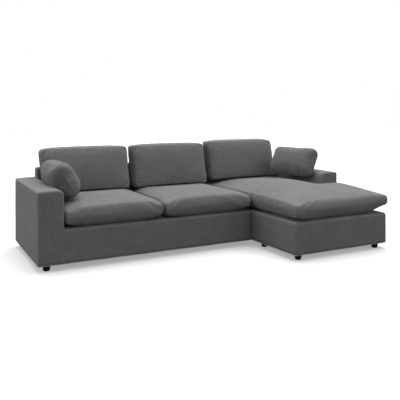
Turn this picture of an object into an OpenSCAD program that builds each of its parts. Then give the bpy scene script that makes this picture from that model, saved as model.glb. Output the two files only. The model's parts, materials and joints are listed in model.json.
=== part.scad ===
// Corner sofa in two upholstered units that hook together: two seats with an arm on the left, and
// a chaise with an arm on the right. Loose seat, back and scatter cushions lie on them.
// Millimetres, +Z up. The origin is on the floor, under the middle of the whole sofa.

/* [Overall] */
// Width of the seat part of the two-seat unit
seats_w = 1600; // [1300:10:1900]
// Width of the seat part of the chaise unit
chaise_w = 760; // [650:10:950]
// Depth of both units behind the front of the arms
depth = 920; // [880:10:1050]
// How far the chaise runs forward past the arms
reach = 600; // [400:10:800]
// Height of the deck that the seat cushions lie on
deck_z = 295; // [260:5:340]
// Gap between the two units where they stand side by side
unit_gap = 2; // [1:0.5:5]

/* [Arms and back] */
// Width of each arm
arm_w = 185; // [160:5:230]
// Height of an arm at its crown
arm_h = 577; // [520:1:640]
// How much lower the arm is at its outer edge than at its crown
arm_drop = 5; // [3:1:25]
// Rounding of the arm's outer top edge
arm_outer_r = 12; // [8:1:20]
// Rounding of the arm's inner top edge
arm_inner_r = 38; // [20:1:50]
// Height of the back frame
back_h = 662; // [640:1:740]
// Thickness of the back frame
back_t = 90; // [80:1:130]
// How far the back laps over the arm beside it
back_lap = 25; // [5:1:40]
// Rounding of the top edges of the base and the back
edge_r = 18; // [8:1:30]
// Rounding of the upright corners
corner_r = 12; // [6:1:20]

/* [Upholstery] */
// Thickness of the sewn cover
cover_t = 2; // [1:0.5:4]
// Thickness of the padding sheets under the cover
wadding_t = 8; // [4:1:15]
// Thickness of the arm foam over the cap board, at the crown
arm_foam_t = 30; // [25:1:45]
// Thickness of the deck pad on the seat belts
deck_pad_t = 12; // [6:1:20]
// Thickness of the foam on the front of the back
back_foam_t = 36; // [25:1:45]
// Thickness of the padding behind the back panel
rear_wadding_t = 5; // [3:0.5:8]
// Thickness of the dust cover under the base
dust_t = 0.7; // [0.4:0.1:1.5]

/* [Frame] */
// Thickness of the base boards
board_t = 18; // [15:1:24]
// Thickness of the cross rails
rail_t = 30; // [22:1:40]
// Height of the cross rails
rail_h = 90; // [60:5:120]
// How far the middle cross rail lies below the belts
rail_drop = 12; // [8:1:25]
// Thickness of the arm panels and the cap board
panel_t = 12; // [9:1:18]
// Depth of the arm posts, front to back
arm_post_d = 45; // [30:5:70]
// Width of the back posts
post_w = 45; // [30:5:70]
// Height of the upper back rail
top_rail_h = 25; // [18:1:40]
// Height of the lower back rails
low_rail_h = 50; // [30:5:70]
// Thickness of the hardboard panel behind the back
back_panel_t = 3; // [2:0.5:6]
// Width of the elastic belts
belt_w = 60; // [40:5:80]
// Thickness of the elastic belts
belt_t = 2; // [1.5:0.5:3]
// Least distance from one seat belt to the next, centre to centre
belt_pitch = 105; // [90:5:140]
// How far the seat belts' ends stop short of the boards' outer faces
belt_short = 2; // [1:0.5:6]
// Length over which a woven belt climbs from one side of a belt to the other
weave_run = 5; // [3:0.5:8]
// Number of belts across the back
back_belts = 4; // [2:1:5]

/* [Feet] */
// Height of the feet, which is the gap under the base
foot_h = 45; // [35:1:80]
// Diameter of a foot at its top
foot_top_d = 60; // [45:1:76]
// Diameter of a foot at the floor
foot_low_d = 46; // [35:1:60]
// Distance of the feet from the sides of their unit
foot_in_x = 72; // [66:1:90]
// Distance of the corner feet from the front and the rear
foot_in_y = 60; // [50:1:80]
// How far back the two-seat unit's front foot stands beside the chaise
foot_set_back = 250; // [180:5:320]
// How far in front of the arms the chaise's middle feet stand
mid_foot_y = 85; // [70:5:150]
// Bevel round the bottom of a foot
foot_bevel = 3; // [1:0.5:5]
// Height of the straight rim at the top of a foot
foot_rim = 6; // [3:1:12]
// Diameter of the threaded studs
stud_d = 8; // [6:1:10]
// Room round a stud where it passes the dust cover
stud_room = 1; // [0.5:0.5:3]
// Length of a stud
stud_l = 78; // [70:1:100]
// How deep a stud sits in its foot
stud_in_foot = 34; // [20:1:38]
// Outer diameter of an insert nut's barrel
nut_barrel_d = 11; // [10.5:0.5:14]
// Length of an insert nut's barrel
nut_barrel_l = 12; // [8:1:20]
// Diameter of an insert nut's flange
nut_flange_d = 22; // [18:1:28]
// Thickness of an insert nut's flange
nut_flange_t = 1.5; // [1:0.5:3]
// Length of a foot block, from side to side
foot_block_l = 88; // [70:1:110]
// Depth of a foot block, front to back
foot_block_d = 74; // [50:1:90]
// Height of a foot block
foot_block_h = 38; // [30:1:50]

/* [Connectors] */
// Thickness of the connector plates
plate_t = 3; // [2:0.5:4]
// Width of the connector plates
plate_w = 50; // [40:5:70]
// Width of a tongue
tongue_w = 20; // [15:1:26]
// How far a tongue reaches down from the base
tongue_l = 16; // [12:1:24]
// How far a tongue stands from the joint between the units
tongue_x = 24; // [20:1:32]
// How far the sockets reach past the tongues
socket_over = 26; // [18:1:32]
// Room round a tongue in its slot
tongue_room = 1.5; // [0.5:0.5:3]
// Where the sockets start to bend down, before the joint
socket_bend = 12; // [8:1:20]
// How far the plates reach under the bases
plate_in = 74; // [60:1:90]
// How far the two pairs of plates stand behind the front of the arms
plate_front_y = 120; // [60:5:160]
// Distance between the two pairs
plate_span = 530; // [400:10:600]

/* [Seat cushions] */
// Height of a seat cushion's crown above the floor
seat_crown_z = 488; // [450:1:530]
// How far the cushions reach over the front of their base
seat_over = 20; // [0:1:30]
// Gap between a cushion and the arm beside it
side_gap = 4; // [2:0.5:10]
// Gap between two cushions
cushion_gap = 3; // [2:0.5:10]
// Height of the front seam at the middle of a side, above the deck
seam_low = 13; // [5:1:30]
// Height of the lower seam at the corners, above the deck
seam_low_ear = 27; // [10:1:40]
// Drop of the upper seam below the crown, at the middle of a side
seam_high = 22; // [10:1:40]
// Drop of the upper seam below the crown, at the corners
seam_high_ear = 60; // [30:1:80]
// Rounding of the front corners, seen from above
front_corner_r = 42; // [25:1:60]
// Rounding of the rear corners
rear_corner_r = 30; // [15:1:45]
// How much of the rim's height the front corners lose
front_pinch = 0.9; // [0.5:0.05:1]
// How much of the rim's height the rear corners lose
rear_pinch = 0.5; // [0.2:0.05:1]
// How much the chaise cushion's far front corner curls up
curl = 20; // [0:1:30]
// How far from that corner the curl begins
curl_run = 260; // [150:10:350]
// How much higher the chaise cushion's crown is beside the arm than at its front
chaise_crown = 42; // [0:1:50]
// How much higher the chaise cushion is under the back cushion than the seat cushions are
chaise_rise = 24; // [0:1:30]
// How far the sides are drawn in between the corners
draw_in = 6; // [2:1:15]
// How far the joint between the chaise cushion and its neighbour runs off square at the rear
skew = 50; // [0:1:60]
// Thickness of the fibre wrap between a cushion's case and its foam core
wrap_t = 34; // [28:1:50]

/* [Back cushions] */
// Height of the left back cushion's crest above the floor
left_top_z = 832; // [780:1:880]
// Height of the middle back cushion's crest
middle_top_z = 836; // [780:1:880]
// Height of the right back cushion's crest
right_top_z = 852; // [780:1:880]
// How much lower their top corners are than the crest
top_bow = 4; // [0:1:30]
// Thickness of a back cushion
back_cushion_t = 184; // [150:1:210]
// How much of that thickness it loses at the top
back_taper = 0.11; // [0:0.01:0.25]
// Lean of the back cushions
lean = 12; // [5:1:20]
// Height at which their lower front edge meets the seats
nip_z = 466; // [440:1:480]
// Fall of the seats from front to rear, in millimetres per millimetre
seat_fall = 0.1; // [0.04:0.01:0.15]
// Gap between the right back cushion and the right arm
right_gap = 33; // [4:1:50]
// Gap between two back cushions
back_gap = 28; // [3:1:40]
// Distance of the front seam behind the cushion's front, at the middle of a side
back_seam = 26; // [15:1:45]
// Distance of the rear seam in front of the cushion's rear, at the middle of a side
rear_seam = 16; // [8:1:25]
// How much further both seams lie in at the corners
back_ear = 24; // [10:1:35]
// Rounding of a back cushion's lower corners
back_low_r = 32; // [20:1:45]
// Rounding of a back cushion's top corners
back_top_r = 32; // [25:1:60]
// How far the left cushion swells over the arm at its top
over_arm = 14; // [0:1:16]
// Distance of a back cushion's core from the outline of its case
core_inset = 54; // [40:1:80]
// Distance of the core's rear from the back
core_rear = 36; // [30:1:50]
// Distance of the core's front from the back
core_front = 124; // [100:1:130]

/* [Scatter cushions] */
// Length of a scatter cushion
scatter_w = 470; // [400:5:490]
// Height of a scatter cushion
scatter_h = 300; // [260:5:330]
// Thickness of a scatter cushion
scatter_t = 176; // [120:2:190]
// Rounding of its corners
scatter_corner_r = 30; // [12:1:45]
// How far its sides are drawn in between the corners
scatter_draw = 9; // [4:1:25]
// Size of the inner pad, as a share of the case
pad_scale = 0.86; // [0.8:0.01:0.9]
// Lean of the left scatter cushion
left_lean = 32; // [20:1:40]
// Lean of the right scatter cushion
right_lean = 28; // [15:1:35]
// Turn of the right scatter cushion, seen from above
right_turn = 18; // [0:1:25]
// Distance of the left one's middle from the left arm
left_in = 66; // [60:1:120]
// Distance of the left one's middle in front of the back cushions
left_fore = 223.5; // [210:0.5:300]
// Height of the left one's middle above the crown of the seats
left_up = 124; // [120:0.1:170]
// Distance of the right one's middle from the right arm
right_in = 62; // [55:1:120]
// Distance of the right one's middle in front of the back cushions
right_fore = 269.5; // [240:0.5:330]
// Height of the right one's middle above the crown of the chaise cushion
right_up = 120.8; // [115:0.1:170]

/* [Hidden] */
$fn = 48;

// Clearance between pieces that lie against each other
fit = 0.3;
// Side clearance of a stud in its nut and its foot
thread_fit = 0.05;

sofa_len = arm_w + seats_w - unit_gap / 2;
chaise_len = arm_w + chaise_w - unit_gap / 2;
join_x = arm_w + seats_w;
total_w = 2 * arm_w + seats_w + chaise_w;
mid_x = (total_w + seat_over) / 2;
mid_y = (depth - reach - seat_over) / 2;

// Heights of the layers, from the floor up
frame_z = foot_h + dust_t + fit;
deck_in_z = deck_z - cover_t;
pad_z = deck_in_z - deck_pad_t;
board_top_z = pad_z - 2 * fit - 2 * belt_t;
foam_z = deck_in_z + fit;
cap_top_z = arm_h - cover_t - arm_foam_t;
arm_panel_top_z = cap_top_z - panel_t - fit;
skin = cover_t + wadding_t;

// Places of the layers of the back, counted from its rear face forwards
panel_y = depth - cover_t - rear_wadding_t - back_panel_t;
belt_back_y = depth - back_t + cover_t + back_foam_t;
post_y = belt_back_y + belt_t + fit;
post_d = panel_y - post_y - fit;
belt_rail_y = post_y - rail_t - fit;

// Places of the frame members across a unit
inner_u = arm_w - skin;
back_rail_z = back_h - skin - top_rail_h;
arm_rail_u = inner_u - panel_t;

// Joints between the cushions
place_w = (total_w - 2 * arm_w) / 3;
seam_1 = arm_w + place_w;
seat_front_y = -seat_over;
seat_rear_y = depth - back_t - 2 * side_gap;
function skew_x(y) = join_x - skew * max(0, y) / seat_rear_y;

// A plane that the seats and the back cushions share, and the plane that the back cushions lean on
nip_y = depth - back_t + edge_r - (edge_r + fit) / cos(lean)
  + tan(lean) * (nip_z - back_h + edge_r) - back_cushion_t;
function seat_plane(y) = nip_z - seat_fall * (y - nip_y);
function lean_plane(z) = depth - back_t + edge_r - (edge_r + fit) / cos(lean)
  + tan(lean) * (z - back_h + edge_r);
seam_2 = skew_x(nip_y);

// Feet: distance from the arm's outer face, and distance behind the front of the arms
sofa_spots = [
  [foot_in_x, foot_in_y],
  [sofa_len - foot_in_x, foot_set_back],
  [foot_in_x, depth - foot_in_y],
  [sofa_len - foot_in_x, depth - foot_in_y]
];
chaise_spots = [
  for (y = [foot_in_y - reach, -mid_foot_y, depth - foot_in_y], u = [foot_in_x, chaise_len - foot_in_x])
    [u, y]
];

// Frame of the two-seat unit: u runs from the left arm's outer face towards the chaise
module on_sofa() {
  translate([-mid_x, -mid_y, 0]) children();
}

// Frame of the chaise unit: u runs from the right arm's outer face towards the seats
module on_chaise() {
  translate([total_w - mid_x, -mid_y, 0]) mirror([1, 0, 0]) children();
}

module block(lo, hi) {
  translate(lo) cube(hi - lo);
}

module along_x(a, b) {
  translate([a, 0, 0]) rotate([90, 0, 90]) linear_extrude(b - a) children();
}

module along_y(a, b) {
  translate([0, b, 0]) rotate([90, 0, 0]) linear_extrude(b - a) children();
}

module along_z(a, b) {
  translate([0, 0, a]) linear_extrude(b - a) children();
}

// Upright outline with round upper corners
module tab(x0, x1, z0, z1, r) {
  for (x = [x0 + r, x1 - r]) translate([x, z1 - r]) circle(r);
  translate([x0, z0]) square([x1 - x0, z1 - z0 - r]);
  translate([x0 + r, z0]) square([x1 - x0 - 2 * r, z1 - z0]);
}

// Outline with four round corners
module slab(x0, x1, y0, y1, r) {
  for (x = [x0 + r, x1 - r], y = [y0 + r, y1 - r]) translate([x, y]) circle(r);
  translate([x0 + r, y0]) square([x1 - x0 - 2 * r, y1 - y0]);
  translate([x0, y0 + r]) square([x1 - x0, y1 - y0 - 2 * r]);
}

// Padded box with round upright corners and round top edges
module soft_box(lo, hi, top_r, side_r) {
  intersection() {
    along_z(lo.z, hi.z) slab(lo.x, hi.x, lo.y, hi.y, side_r);
    along_y(lo.y, hi.y) tab(lo.x, hi.x, lo.z, hi.z, top_r);
    along_x(lo.x, hi.x) tab(lo.y, hi.y, lo.z, hi.z, top_r);
  }
}

// Domed outline of an arm, d inside its outer surface
function dome(u, d) = arm_h - d - arm_drop * pow((u - 0.55 * arm_w) / (0.55 * arm_w), 2);
function arm_outline(d, z0) = concat(
  [[d, z0]],
  [for (a = [0:22.5:90]) let (r = arm_outer_r - d, u = d + r * (1 - cos(a)))
    [u, dome(u, d) - r * (1 - sin(a))]],
  [for (k = [1:5]) let (u = arm_outer_r + k * (arm_w - arm_outer_r - arm_inner_r) / 6) [u, dome(u, d)]],
  [for (a = [90:-15:0]) let (r = arm_inner_r - d, u = arm_w - d - r * (1 - cos(a)))
    [u, dome(u, d) - r * (1 - sin(a))]],
  [[arm_w - d, z0]]
);

// Outer form of a whole unit, d inside its surface and open below z0
module unit_form(len, front, d, z0) {
  soft_box([d, d - front, z0], [len - d, depth - d, deck_z - d], edge_r - d, corner_r - d);
  soft_box(
    [arm_w - back_lap + d, depth - back_t + d, z0], [len - d, depth - d, back_h - d],
    edge_r - d, corner_r - d
  );
  intersection() {
    along_y(d, depth - d) polygon(arm_outline(d, z0));
    along_x(d, arm_w - d) tab(d, depth - d, z0, arm_h - d, arm_outer_r - d);
    along_z(z0, arm_h) slab(d, arm_w - d, d, depth - d, corner_r - d);
  }
}

module unit_cover(len, front) {
  color("dimgray") difference() {
    unit_form(len, front, 0, foot_h);
    unit_form(len, front, cover_t, foot_h - 1);
  }
}

module dust_cover(len, front, spots) {
  color("black") difference() {
    along_z(foot_h, foot_h + dust_t) slab(
      cover_t + fit, len - cover_t - fit, cover_t + fit - front, depth - cover_t - fit, corner_r - cover_t
    );
    for (p = spots) translate([p.x, p.y, foot_h - 1]) cylinder(d = stud_d + 2 * stud_room, h = dust_t + 2);
  }
}

module long_boards(len, front) {
  color("burlywood") for (y = [skin - front, depth - skin - board_t])
    block([skin, y, frame_z], [len - skin, y + board_t, board_top_z]);
}

module end_boards(len, front) {
  color("burlywood") for (u = [skin, len - skin - board_t])
    block(
      [u, skin + board_t + fit - front, frame_z],
      [u + board_t, depth - skin - board_t - fit, board_top_z]
    );
}

module cross_rails(len, front) {
  front_y = skin + board_t + fit - front;
  mid_u = (arm_w + len - rail_t) / 2;
  color("burlywood") {
    block([arm_rail_u, front_y, board_top_z - rail_h], [arm_rail_u + rail_t, belt_rail_y - fit, board_top_z]);
    block(
      [mid_u, front_y, board_top_z - rail_drop - rail_h],
      [mid_u + rail_t, belt_rail_y - fit, board_top_z - rail_drop]
    );
    block(
      [skin + board_t + fit, belt_rail_y, board_top_z - rail_h],
      [len - skin - board_t - fit, belt_rail_y + rail_t, board_top_z]
    );
  }
}

// Corner of a foot block beside the boards, for a foot at p
function block_corner(p, len, front) = [
  p.x < len / 2 ? skin + board_t + fit : len - skin - board_t - fit - foot_block_l,
  max(skin + board_t + fit - front, min(p.y - foot_block_d / 2, depth - skin - board_t - fit - foot_block_d)),
  frame_z
];

module foot_blocks(len, front, spots) {
  color("tan") for (p = spots) difference() {
    translate(block_corner(p, len, front)) cube([foot_block_l, foot_block_d, foot_block_h]);
    translate([p.x, p.y, frame_z - 1]) cylinder(d = nut_barrel_d + 2 * fit, h = foot_block_h + 2);
  }
}

module feet(spots) {
  color("black") for (p = spots) translate([p.x, p.y, 0]) difference() {
    rotate_extrude() polygon([
      [0, 0], [foot_low_d / 2 - foot_bevel, 0], [foot_low_d / 2, foot_bevel],
      [foot_top_d / 2, foot_h - fit - foot_rim], [foot_top_d / 2, foot_h - fit], [0, foot_h - fit]
    ]);
    translate([0, 0, foot_h - stud_in_foot]) cylinder(d = stud_d + 2 * thread_fit, h = stud_in_foot + 1);
  }
}

module foot_studs(spots) {
  color("silver") for (p = spots) translate([p.x, p.y, foot_h - stud_in_foot + fit])
    cylinder(d = stud_d, h = stud_l);
}

module insert_nuts(spots) {
  top = frame_z + foot_block_h + fit;
  color("silver") for (p = spots) translate([p.x, p.y, top]) difference() {
    union() {
      cylinder(d = nut_flange_d, h = nut_flange_t);
      translate([0, 0, -nut_barrel_l]) cylinder(d = nut_barrel_d, h = nut_barrel_l + nut_flange_t);
    }
    translate([0, 0, -nut_barrel_l - 1])
      cylinder(d = stud_d + 2 * thread_fit, h = nut_barrel_l + nut_flange_t + 2);
  }
}

// Seat belts: the ones along the seat lie flat, and the ones across weave over and under them
function belt_places(a, b) = let (n = floor((b - a) / belt_pitch))
  [for (k = [0:n - 1]) a + (k + 0.5) * (b - a) / n];

function woven(places, turn, a, b) = concat(
  [[a, 0], [places[0] - belt_w / 2 - rail_t / 2, 0]],
  [for (i = [0:len(places) - 1], s = [-1, 1])
    [places[i] + s * (belt_w / 2 + weave_run), ((i + turn) % 2 == 0 ? 1 : -1) * (belt_t + fit)]],
  [[places[len(places) - 1] + belt_w / 2 + rail_t / 2, 0], [b, 0]]
);

module seat_belts(len, front) {
  first_u = arm_rail_u + rail_t;
  last_u = len - skin - board_t;
  first_y = skin + board_t - front;
  along = belt_places(first_u, last_u);
  across = belt_places(first_y, belt_rail_y);
  color("saddlebrown") {
    for (u = along) block(
      [u - belt_w / 2, first_y - board_t + belt_short, board_top_z + fit],
      [u + belt_w / 2, belt_rail_y + rail_t - belt_short, board_top_z + belt_t]
    );
    for (j = [0:len(across) - 1]) {
      path = woven(along, j, inner_u + fit, len - skin - belt_short);
      along_y(across[j] - belt_w / 2, across[j] + belt_w / 2) translate([0, board_top_z + fit])
        polygon(concat(
          path,
          [for (k = [len(path) - 1:-1:0]) path[k] + [0, belt_t - fit]]
        ));
    }
  }
}

module deck_pad(len, front) {
  rear_y = belt_rail_y + rail_t;
  color("gainsboro") intersection() {
    unit_form(len, front, cover_t, frame_z);
    union() {
      block([inner_u + fit, skin + fit - front, pad_z], [len - skin - fit, rear_y, deck_in_z]);
      if (front > 0)
        block([skin + fit, skin + fit - front, pad_z], [len - skin - fit, cover_t - fit, deck_in_z]);
    }
  }
}

module base_wadding(len, front) {
  color("white") intersection() {
    unit_form(len, front, cover_t, frame_z);
    union() {
      for (y = [cover_t - front, depth - skin + fit])
        block([0, y, frame_z], [len, y + wadding_t - fit, deck_in_z]);
      for (u = [cover_t, len - skin + fit])
        block([u, skin + fit - front, frame_z], [u + wadding_t - fit, depth - skin - fit, deck_in_z]);
    }
  }
}

module arm_panels() {
  color("burlywood") for (u = [skin, arm_rail_u])
    block([u, skin, board_top_z + fit], [u + panel_t, depth - skin, arm_panel_top_z]);
}

module arm_posts() {
  color("burlywood") for (y = [skin, depth - skin - arm_post_d])
    block([skin + panel_t + fit, y, board_top_z + fit], [arm_rail_u - fit, y + arm_post_d, arm_panel_top_z]);
}

module arm_cap() {
  color("burlywood") block([skin, skin, arm_panel_top_z + fit], [inner_u, depth - skin, cap_top_z]);
}

// Five sheets on the arm's frame: outside, inside, front, rear and the thick one on top
module arm_foam() {
  inside_end_y = depth - back_t - fit;
  color("white") intersection() {
    along_y(cover_t, depth - cover_t) polygon(arm_outline(cover_t, foam_z));
    along_x(0, arm_w) tab(cover_t, depth - cover_t, foam_z, arm_h - cover_t, arm_outer_r - cover_t);
    along_z(foam_z, arm_h) slab(cover_t, arm_w - cover_t, cover_t, depth - cover_t, corner_r - cover_t);
    union() {
      block([0, skin + fit, foam_z], [skin - fit, depth - skin - fit, cap_top_z]);
      block([inner_u + fit, skin + fit, foam_z], [arm_w, inside_end_y, cap_top_z]);
      block([0, 0, foam_z], [arm_w, skin - fit, cap_top_z]);
      block([0, depth - skin + fit, foam_z], [inner_u, depth, cap_top_z]);
      difference() {
        block([0, 0, cap_top_z + fit], [arm_w, depth, arm_h]);
        block([inner_u, inside_end_y, cap_top_z], [arm_w + 1, depth + 1, arm_h + 1]);
      }
    }
  }
}

function post_places(len, posts) = [
  for (k = [0:posts - 1]) inner_u + fit + k * (len - skin - post_w - inner_u - fit) / (posts - 1)
];

module back_posts(len, posts) {
  color("burlywood") for (u = post_places(len, posts))
    block([u, post_y, board_top_z + fit], [u + post_w, post_y + post_d, back_rail_z - fit]);
}

module back_rails(len, posts) {
  places = post_places(len, posts);
  color("burlywood") {
    block([inner_u + fit, post_y, back_rail_z], [len - skin, post_y + post_d, back_h - skin]);
    for (k = [0:posts - 2]) block(
      [places[k] + post_w + fit, post_y, board_top_z + fit],
      [places[k + 1] - fit, post_y + post_d, board_top_z + low_rail_h]
    );
  }
}

module back_belts(len) {
  low = foam_z + belt_w / 2;
  high = back_rail_z - belt_w / 2;
  color("saddlebrown") for (k = [0:back_belts - 1]) {
    z = low + (k + 0.5) * (high - low) / back_belts;
    block(
      [inner_u + fit, belt_back_y + fit, z - belt_w / 2],
      [len - skin, belt_back_y + belt_t, z + belt_w / 2]
    );
  }
}

module back_panel(len) {
  color("peru") block(
    [inner_u + fit, panel_y, foam_z], [len - skin, panel_y + back_panel_t - fit, back_h - skin]
  );
}

// The thick front sheet, the strip on top, the thin rear sheet and the two end strips
module back_foam(len) {
  top_z = back_h - skin + fit;
  front_y = depth - back_t + cover_t;
  rear_y = depth - cover_t;
  color("white") intersection() {
    unit_form(len, 0, cover_t, frame_z);
    union() {
      block([inner_u + fit, front_y, foam_z], [len, belt_back_y, top_z - fit]);
      block([0, 0, top_z], [len, depth, back_h]);
      block([inner_u + fit, rear_y - rear_wadding_t + fit, foam_z], [len - skin, rear_y, top_z - fit]);
      block([len - skin + fit, belt_back_y + fit, foam_z], [len, rear_y, top_z - fit]);
      block([0, front_y, arm_h + fit], [inner_u, rear_y, top_z - fit]);
    }
  }
}

// Plates that hook the units together, drawn at the joint: x from the joint, z from the floor
plate_z = foot_h - fit - plate_t;
hook_z = plate_z - plate_t - fit;

module sockets() {
  over = tongue_x + socket_over;
  flat_end = -socket_bend + plate_t + fit;
  color("silver") for (y = [plate_front_y, plate_front_y + plate_span]) difference() {
    along_y(y - plate_w / 2, y + plate_w / 2) translate([join_x, 0]) polygon([
      [-plate_in, plate_z], [-socket_bend - 1, plate_z], [flat_end - 1, hook_z], [over, hook_z],
      [over, hook_z + plate_t], [flat_end, hook_z + plate_t],
      [-socket_bend, plate_z + plate_t], [-plate_in, plate_z + plate_t]
    ]);
    translate([join_x + tongue_x - plate_t / 2 - tongue_room, y - tongue_w / 2 - tongue_room, hook_z - 1])
      cube([plate_t + 2 * tongue_room, tongue_w + 2 * tongue_room, plate_t + 2]);
  }
}

module tongues() {
  color("silver") for (y = [plate_front_y, plate_front_y + plate_span]) {
    block(
      [join_x + tongue_x - plate_t / 2, y - plate_w / 2, plate_z],
      [join_x + plate_in, y + plate_w / 2, plate_z + plate_t]
    );
    block(
      [join_x + tongue_x - plate_t / 2, y - tongue_w / 2, plate_z - tongue_l],
      [join_x + tongue_x + plate_t / 2, y + tongue_w / 2, plate_z + plate_t]
    );
  }
}

// Soft forms: an outline of corners [x, y, rounding, pinch], drawn in between them, gives points
// [x, y, fullness]; a cushion's seams follow the fullness, and its panels swell from them.
// A fifth value at a corner is the draw of the side that starts there
fade_len = 150;
rim_step = 118;
arc_steps = 3;
panel_rings = [0.985, 0.93, 0.82, 0.62, 0.33];

function xy(c) = [c[0], c[1]];
function fade(s) = pow(max(0, 1 - s / fade_len), 2);
function soft_outline(c, draw, step) = let (n = len(c)) [
  for (i = [0:n - 1])
    let (
      p = xy(c[i]), q = xy(c[(i + 1) % n]), o = xy(c[(i + n - 1) % n]),
      d0 = (p - o) / norm(p - o), d1 = (q - p) / norm(q - p),
      a = p - c[i][2] * d0, b = p + c[i][2] * d1, e = q - c[(i + 1) % n][2] * d1,
      run = norm(e - b), steps = max(2, round(run / step)), dip = is_undef(c[i][4]) ? draw : c[i][4]
    )
    each concat(
      [for (k = [0:arc_steps])
        let (t = k / arc_steps, m = pow(1 - t, 2) * a + 2 * t * (1 - t) * p + t * t * b)
        [m.x, m.y, 1 - c[i][3]]],
      [for (k = [1:steps - 1])
        let (t = k / steps, m = b + t * (e - b) + dip * 4 * t * (1 - t) * [-d1.y, d1.x])
        [m.x, m.y, 1 - c[i][3] * fade(t * run) - c[(i + 1) % n][3] * fade((1 - t) * run)]]
    )
];

// Points of a cushion. low and high are [crown, seam between corners, seam at the corners]
function panel_ring(rim, mid, h, s, power) = [
  for (p = rim)
    let (z = h[2] + (h[1] - h[2]) * p[2])
    [mid.x + s * (p.x - mid.x), mid.y + s * (p.y - mid.y), h[0] + (z - h[0]) * pow(s, power)]
];
function cushion_points(rim, mid, low, high, rings, power) = concat(
  [[mid.x, mid.y, low[0]]],
  [for (k = [len(rings) - 1:-1:0]) each panel_ring(rim, mid, low, rings[k], power)],
  [for (p = rim) [p.x, p.y, (low[1] + high[1]) / 2]],
  [for (k = [0:len(rings) - 1]) each panel_ring(rim, mid, high, rings[k], power)],
  [[mid.x, mid.y, high[0]]]
);
function cushion_faces(n, rings) = concat(
  [for (i = [0:n - 1]) [0, 1 + i, 1 + (i + 1) % n]],
  [for (j = [0:2 * rings - 1], i = [0:n - 1]) let (a = 1 + j * n + i, b = 1 + j * n + (i + 1) % n)
    each [[a, a + n, b + n], [a, b + n, b]]],
  [for (i = [0:n - 1]) let (last = 1 + (2 * rings + 1) * n) [last, last - n + (i + 1) % n, last - n + i]]
);

// Seat cushions, in plan coordinates
seat_low = [deck_z + fit, deck_z + seam_low, deck_z + seam_low_ear];
seat_high = [seat_crown_z, seat_crown_z - seam_high, seat_crown_z - seam_high_ear];

function settle(p, rise = 0) = [p.x, p.y, min(max(p.z, deck_z + fit), seat_plane(p.y) + rise)];

seat_left_plan = [
  [arm_w + side_gap, seat_front_y, front_corner_r, front_pinch],
  [seam_1 - cushion_gap / 2, seat_front_y, front_corner_r, front_pinch],
  [seam_1 - cushion_gap / 2, seat_rear_y, rear_corner_r, rear_pinch],
  [arm_w + side_gap, seat_rear_y, rear_corner_r, rear_pinch]
];
seat_middle_plan = [
  [seam_1 + cushion_gap / 2, seat_front_y, front_corner_r, front_pinch],
  [skew_x(seat_front_y) - cushion_gap / 2, seat_front_y, front_corner_r, front_pinch],
  [skew_x(seat_rear_y) - cushion_gap / 2, seat_rear_y, rear_corner_r, rear_pinch],
  [seam_1 + cushion_gap / 2, seat_rear_y, rear_corner_r, rear_pinch]
];
chaise_plan = [
  [join_x + 2 * side_gap, seat_front_y - reach, front_corner_r, front_pinch],
  [total_w + seat_over, seat_front_y - reach, front_corner_r, front_pinch],
  [total_w + seat_over, -2 * side_gap, front_corner_r, 0.6],
  [total_w - arm_w - side_gap, -2 * side_gap, 6 * side_gap, 0],
  [total_w - arm_w - side_gap, seat_rear_y, rear_corner_r, rear_pinch],
  [skew_x(seat_rear_y) + cushion_gap / 2, seat_rear_y, rear_corner_r, rear_pinch],
  [join_x + cushion_gap / 2, 0, 2 * rear_corner_r, 0]
];

function plan_mid(plan) = [(plan[0].x + plan[2].x) / 2, (plan[0].y + plan[2].y) / 2];

module seat_form(plan, mid) {
  rim = soft_outline(plan, draw_in, rim_step);
  pts = cushion_points(rim, mid, seat_low, seat_high, panel_rings, 5);
  polyhedron([for (p = pts) settle(p)], cushion_faces(len(rim), len(panel_rings)), 4);
}

// Box for a foam core: inside the case by the wrap on every side, grown by g
function core_box(plan, g) = [
  [plan[0].x + wrap_t - g, plan[0].y + wrap_t - g, deck_z + wrap_t - g],
  [plan[2].x - wrap_t + g, plan[2].y - wrap_t + g, seat_plane(seat_rear_y) - wrap_t + g]
];

module seat_case(plan) {
  box = core_box(plan, fit);
  color("dimgray") translate([-mid_x, -mid_y, 0]) difference() {
    seat_form(plan, plan_mid(plan));
    block(box[0], box[1]);
  }
}

module seat_core(plan) {
  box = core_box(plan, 0);
  color("khaki") translate([-mid_x, -mid_y, 0]) block(box[0], box[1]);
}

// The chaise cushion's core is cut to the notch round the arm, in two glued parts of one block
module chaise_core_form(g) {
  low = deck_z + wrap_t - g;
  high = seat_plane(seat_rear_y) - wrap_t + g;
  left = join_x + wrap_t + 2 * side_gap - g;
  front = seat_front_y - reach + wrap_t - g;
  block([left, front, low], [total_w + seat_over - wrap_t + g, -2 * side_gap - wrap_t + g, high]);
  block([left, front, low], [total_w - arm_w - side_gap - wrap_t + g, seat_rear_y - wrap_t + g, high]);
}

chaise_mid = [(join_x + total_w - arm_w) / 2, -reach / 2];

module chaise_form() {
  rim = soft_outline(chaise_plan, draw_in, rim_step);
  pts = cushion_points(rim, chaise_mid, seat_low, seat_high, panel_rings, 5);
  function curl_up(p) = let (
    a = max(0, 1 - (total_w + seat_over - p.x) / curl_run),
    b = max(0, 1 - (p.y - seat_front_y + reach) / curl_run)
  ) curl * a * b;
  function swell(p) = let (
    a = min(1, max(0, (p.z - deck_z) / (seat_crown_z - deck_z))),
    b = min(1, (p.y - seat_front_y + reach) / reach)
  ) chaise_crown * a * b;
  polyhedron(
    [for (p = pts) settle(p + [0, 0, curl_up(p) + swell(p)], chaise_rise)],
    cushion_faces(len(rim), len(panel_rings)), 4
  );
}

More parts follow.
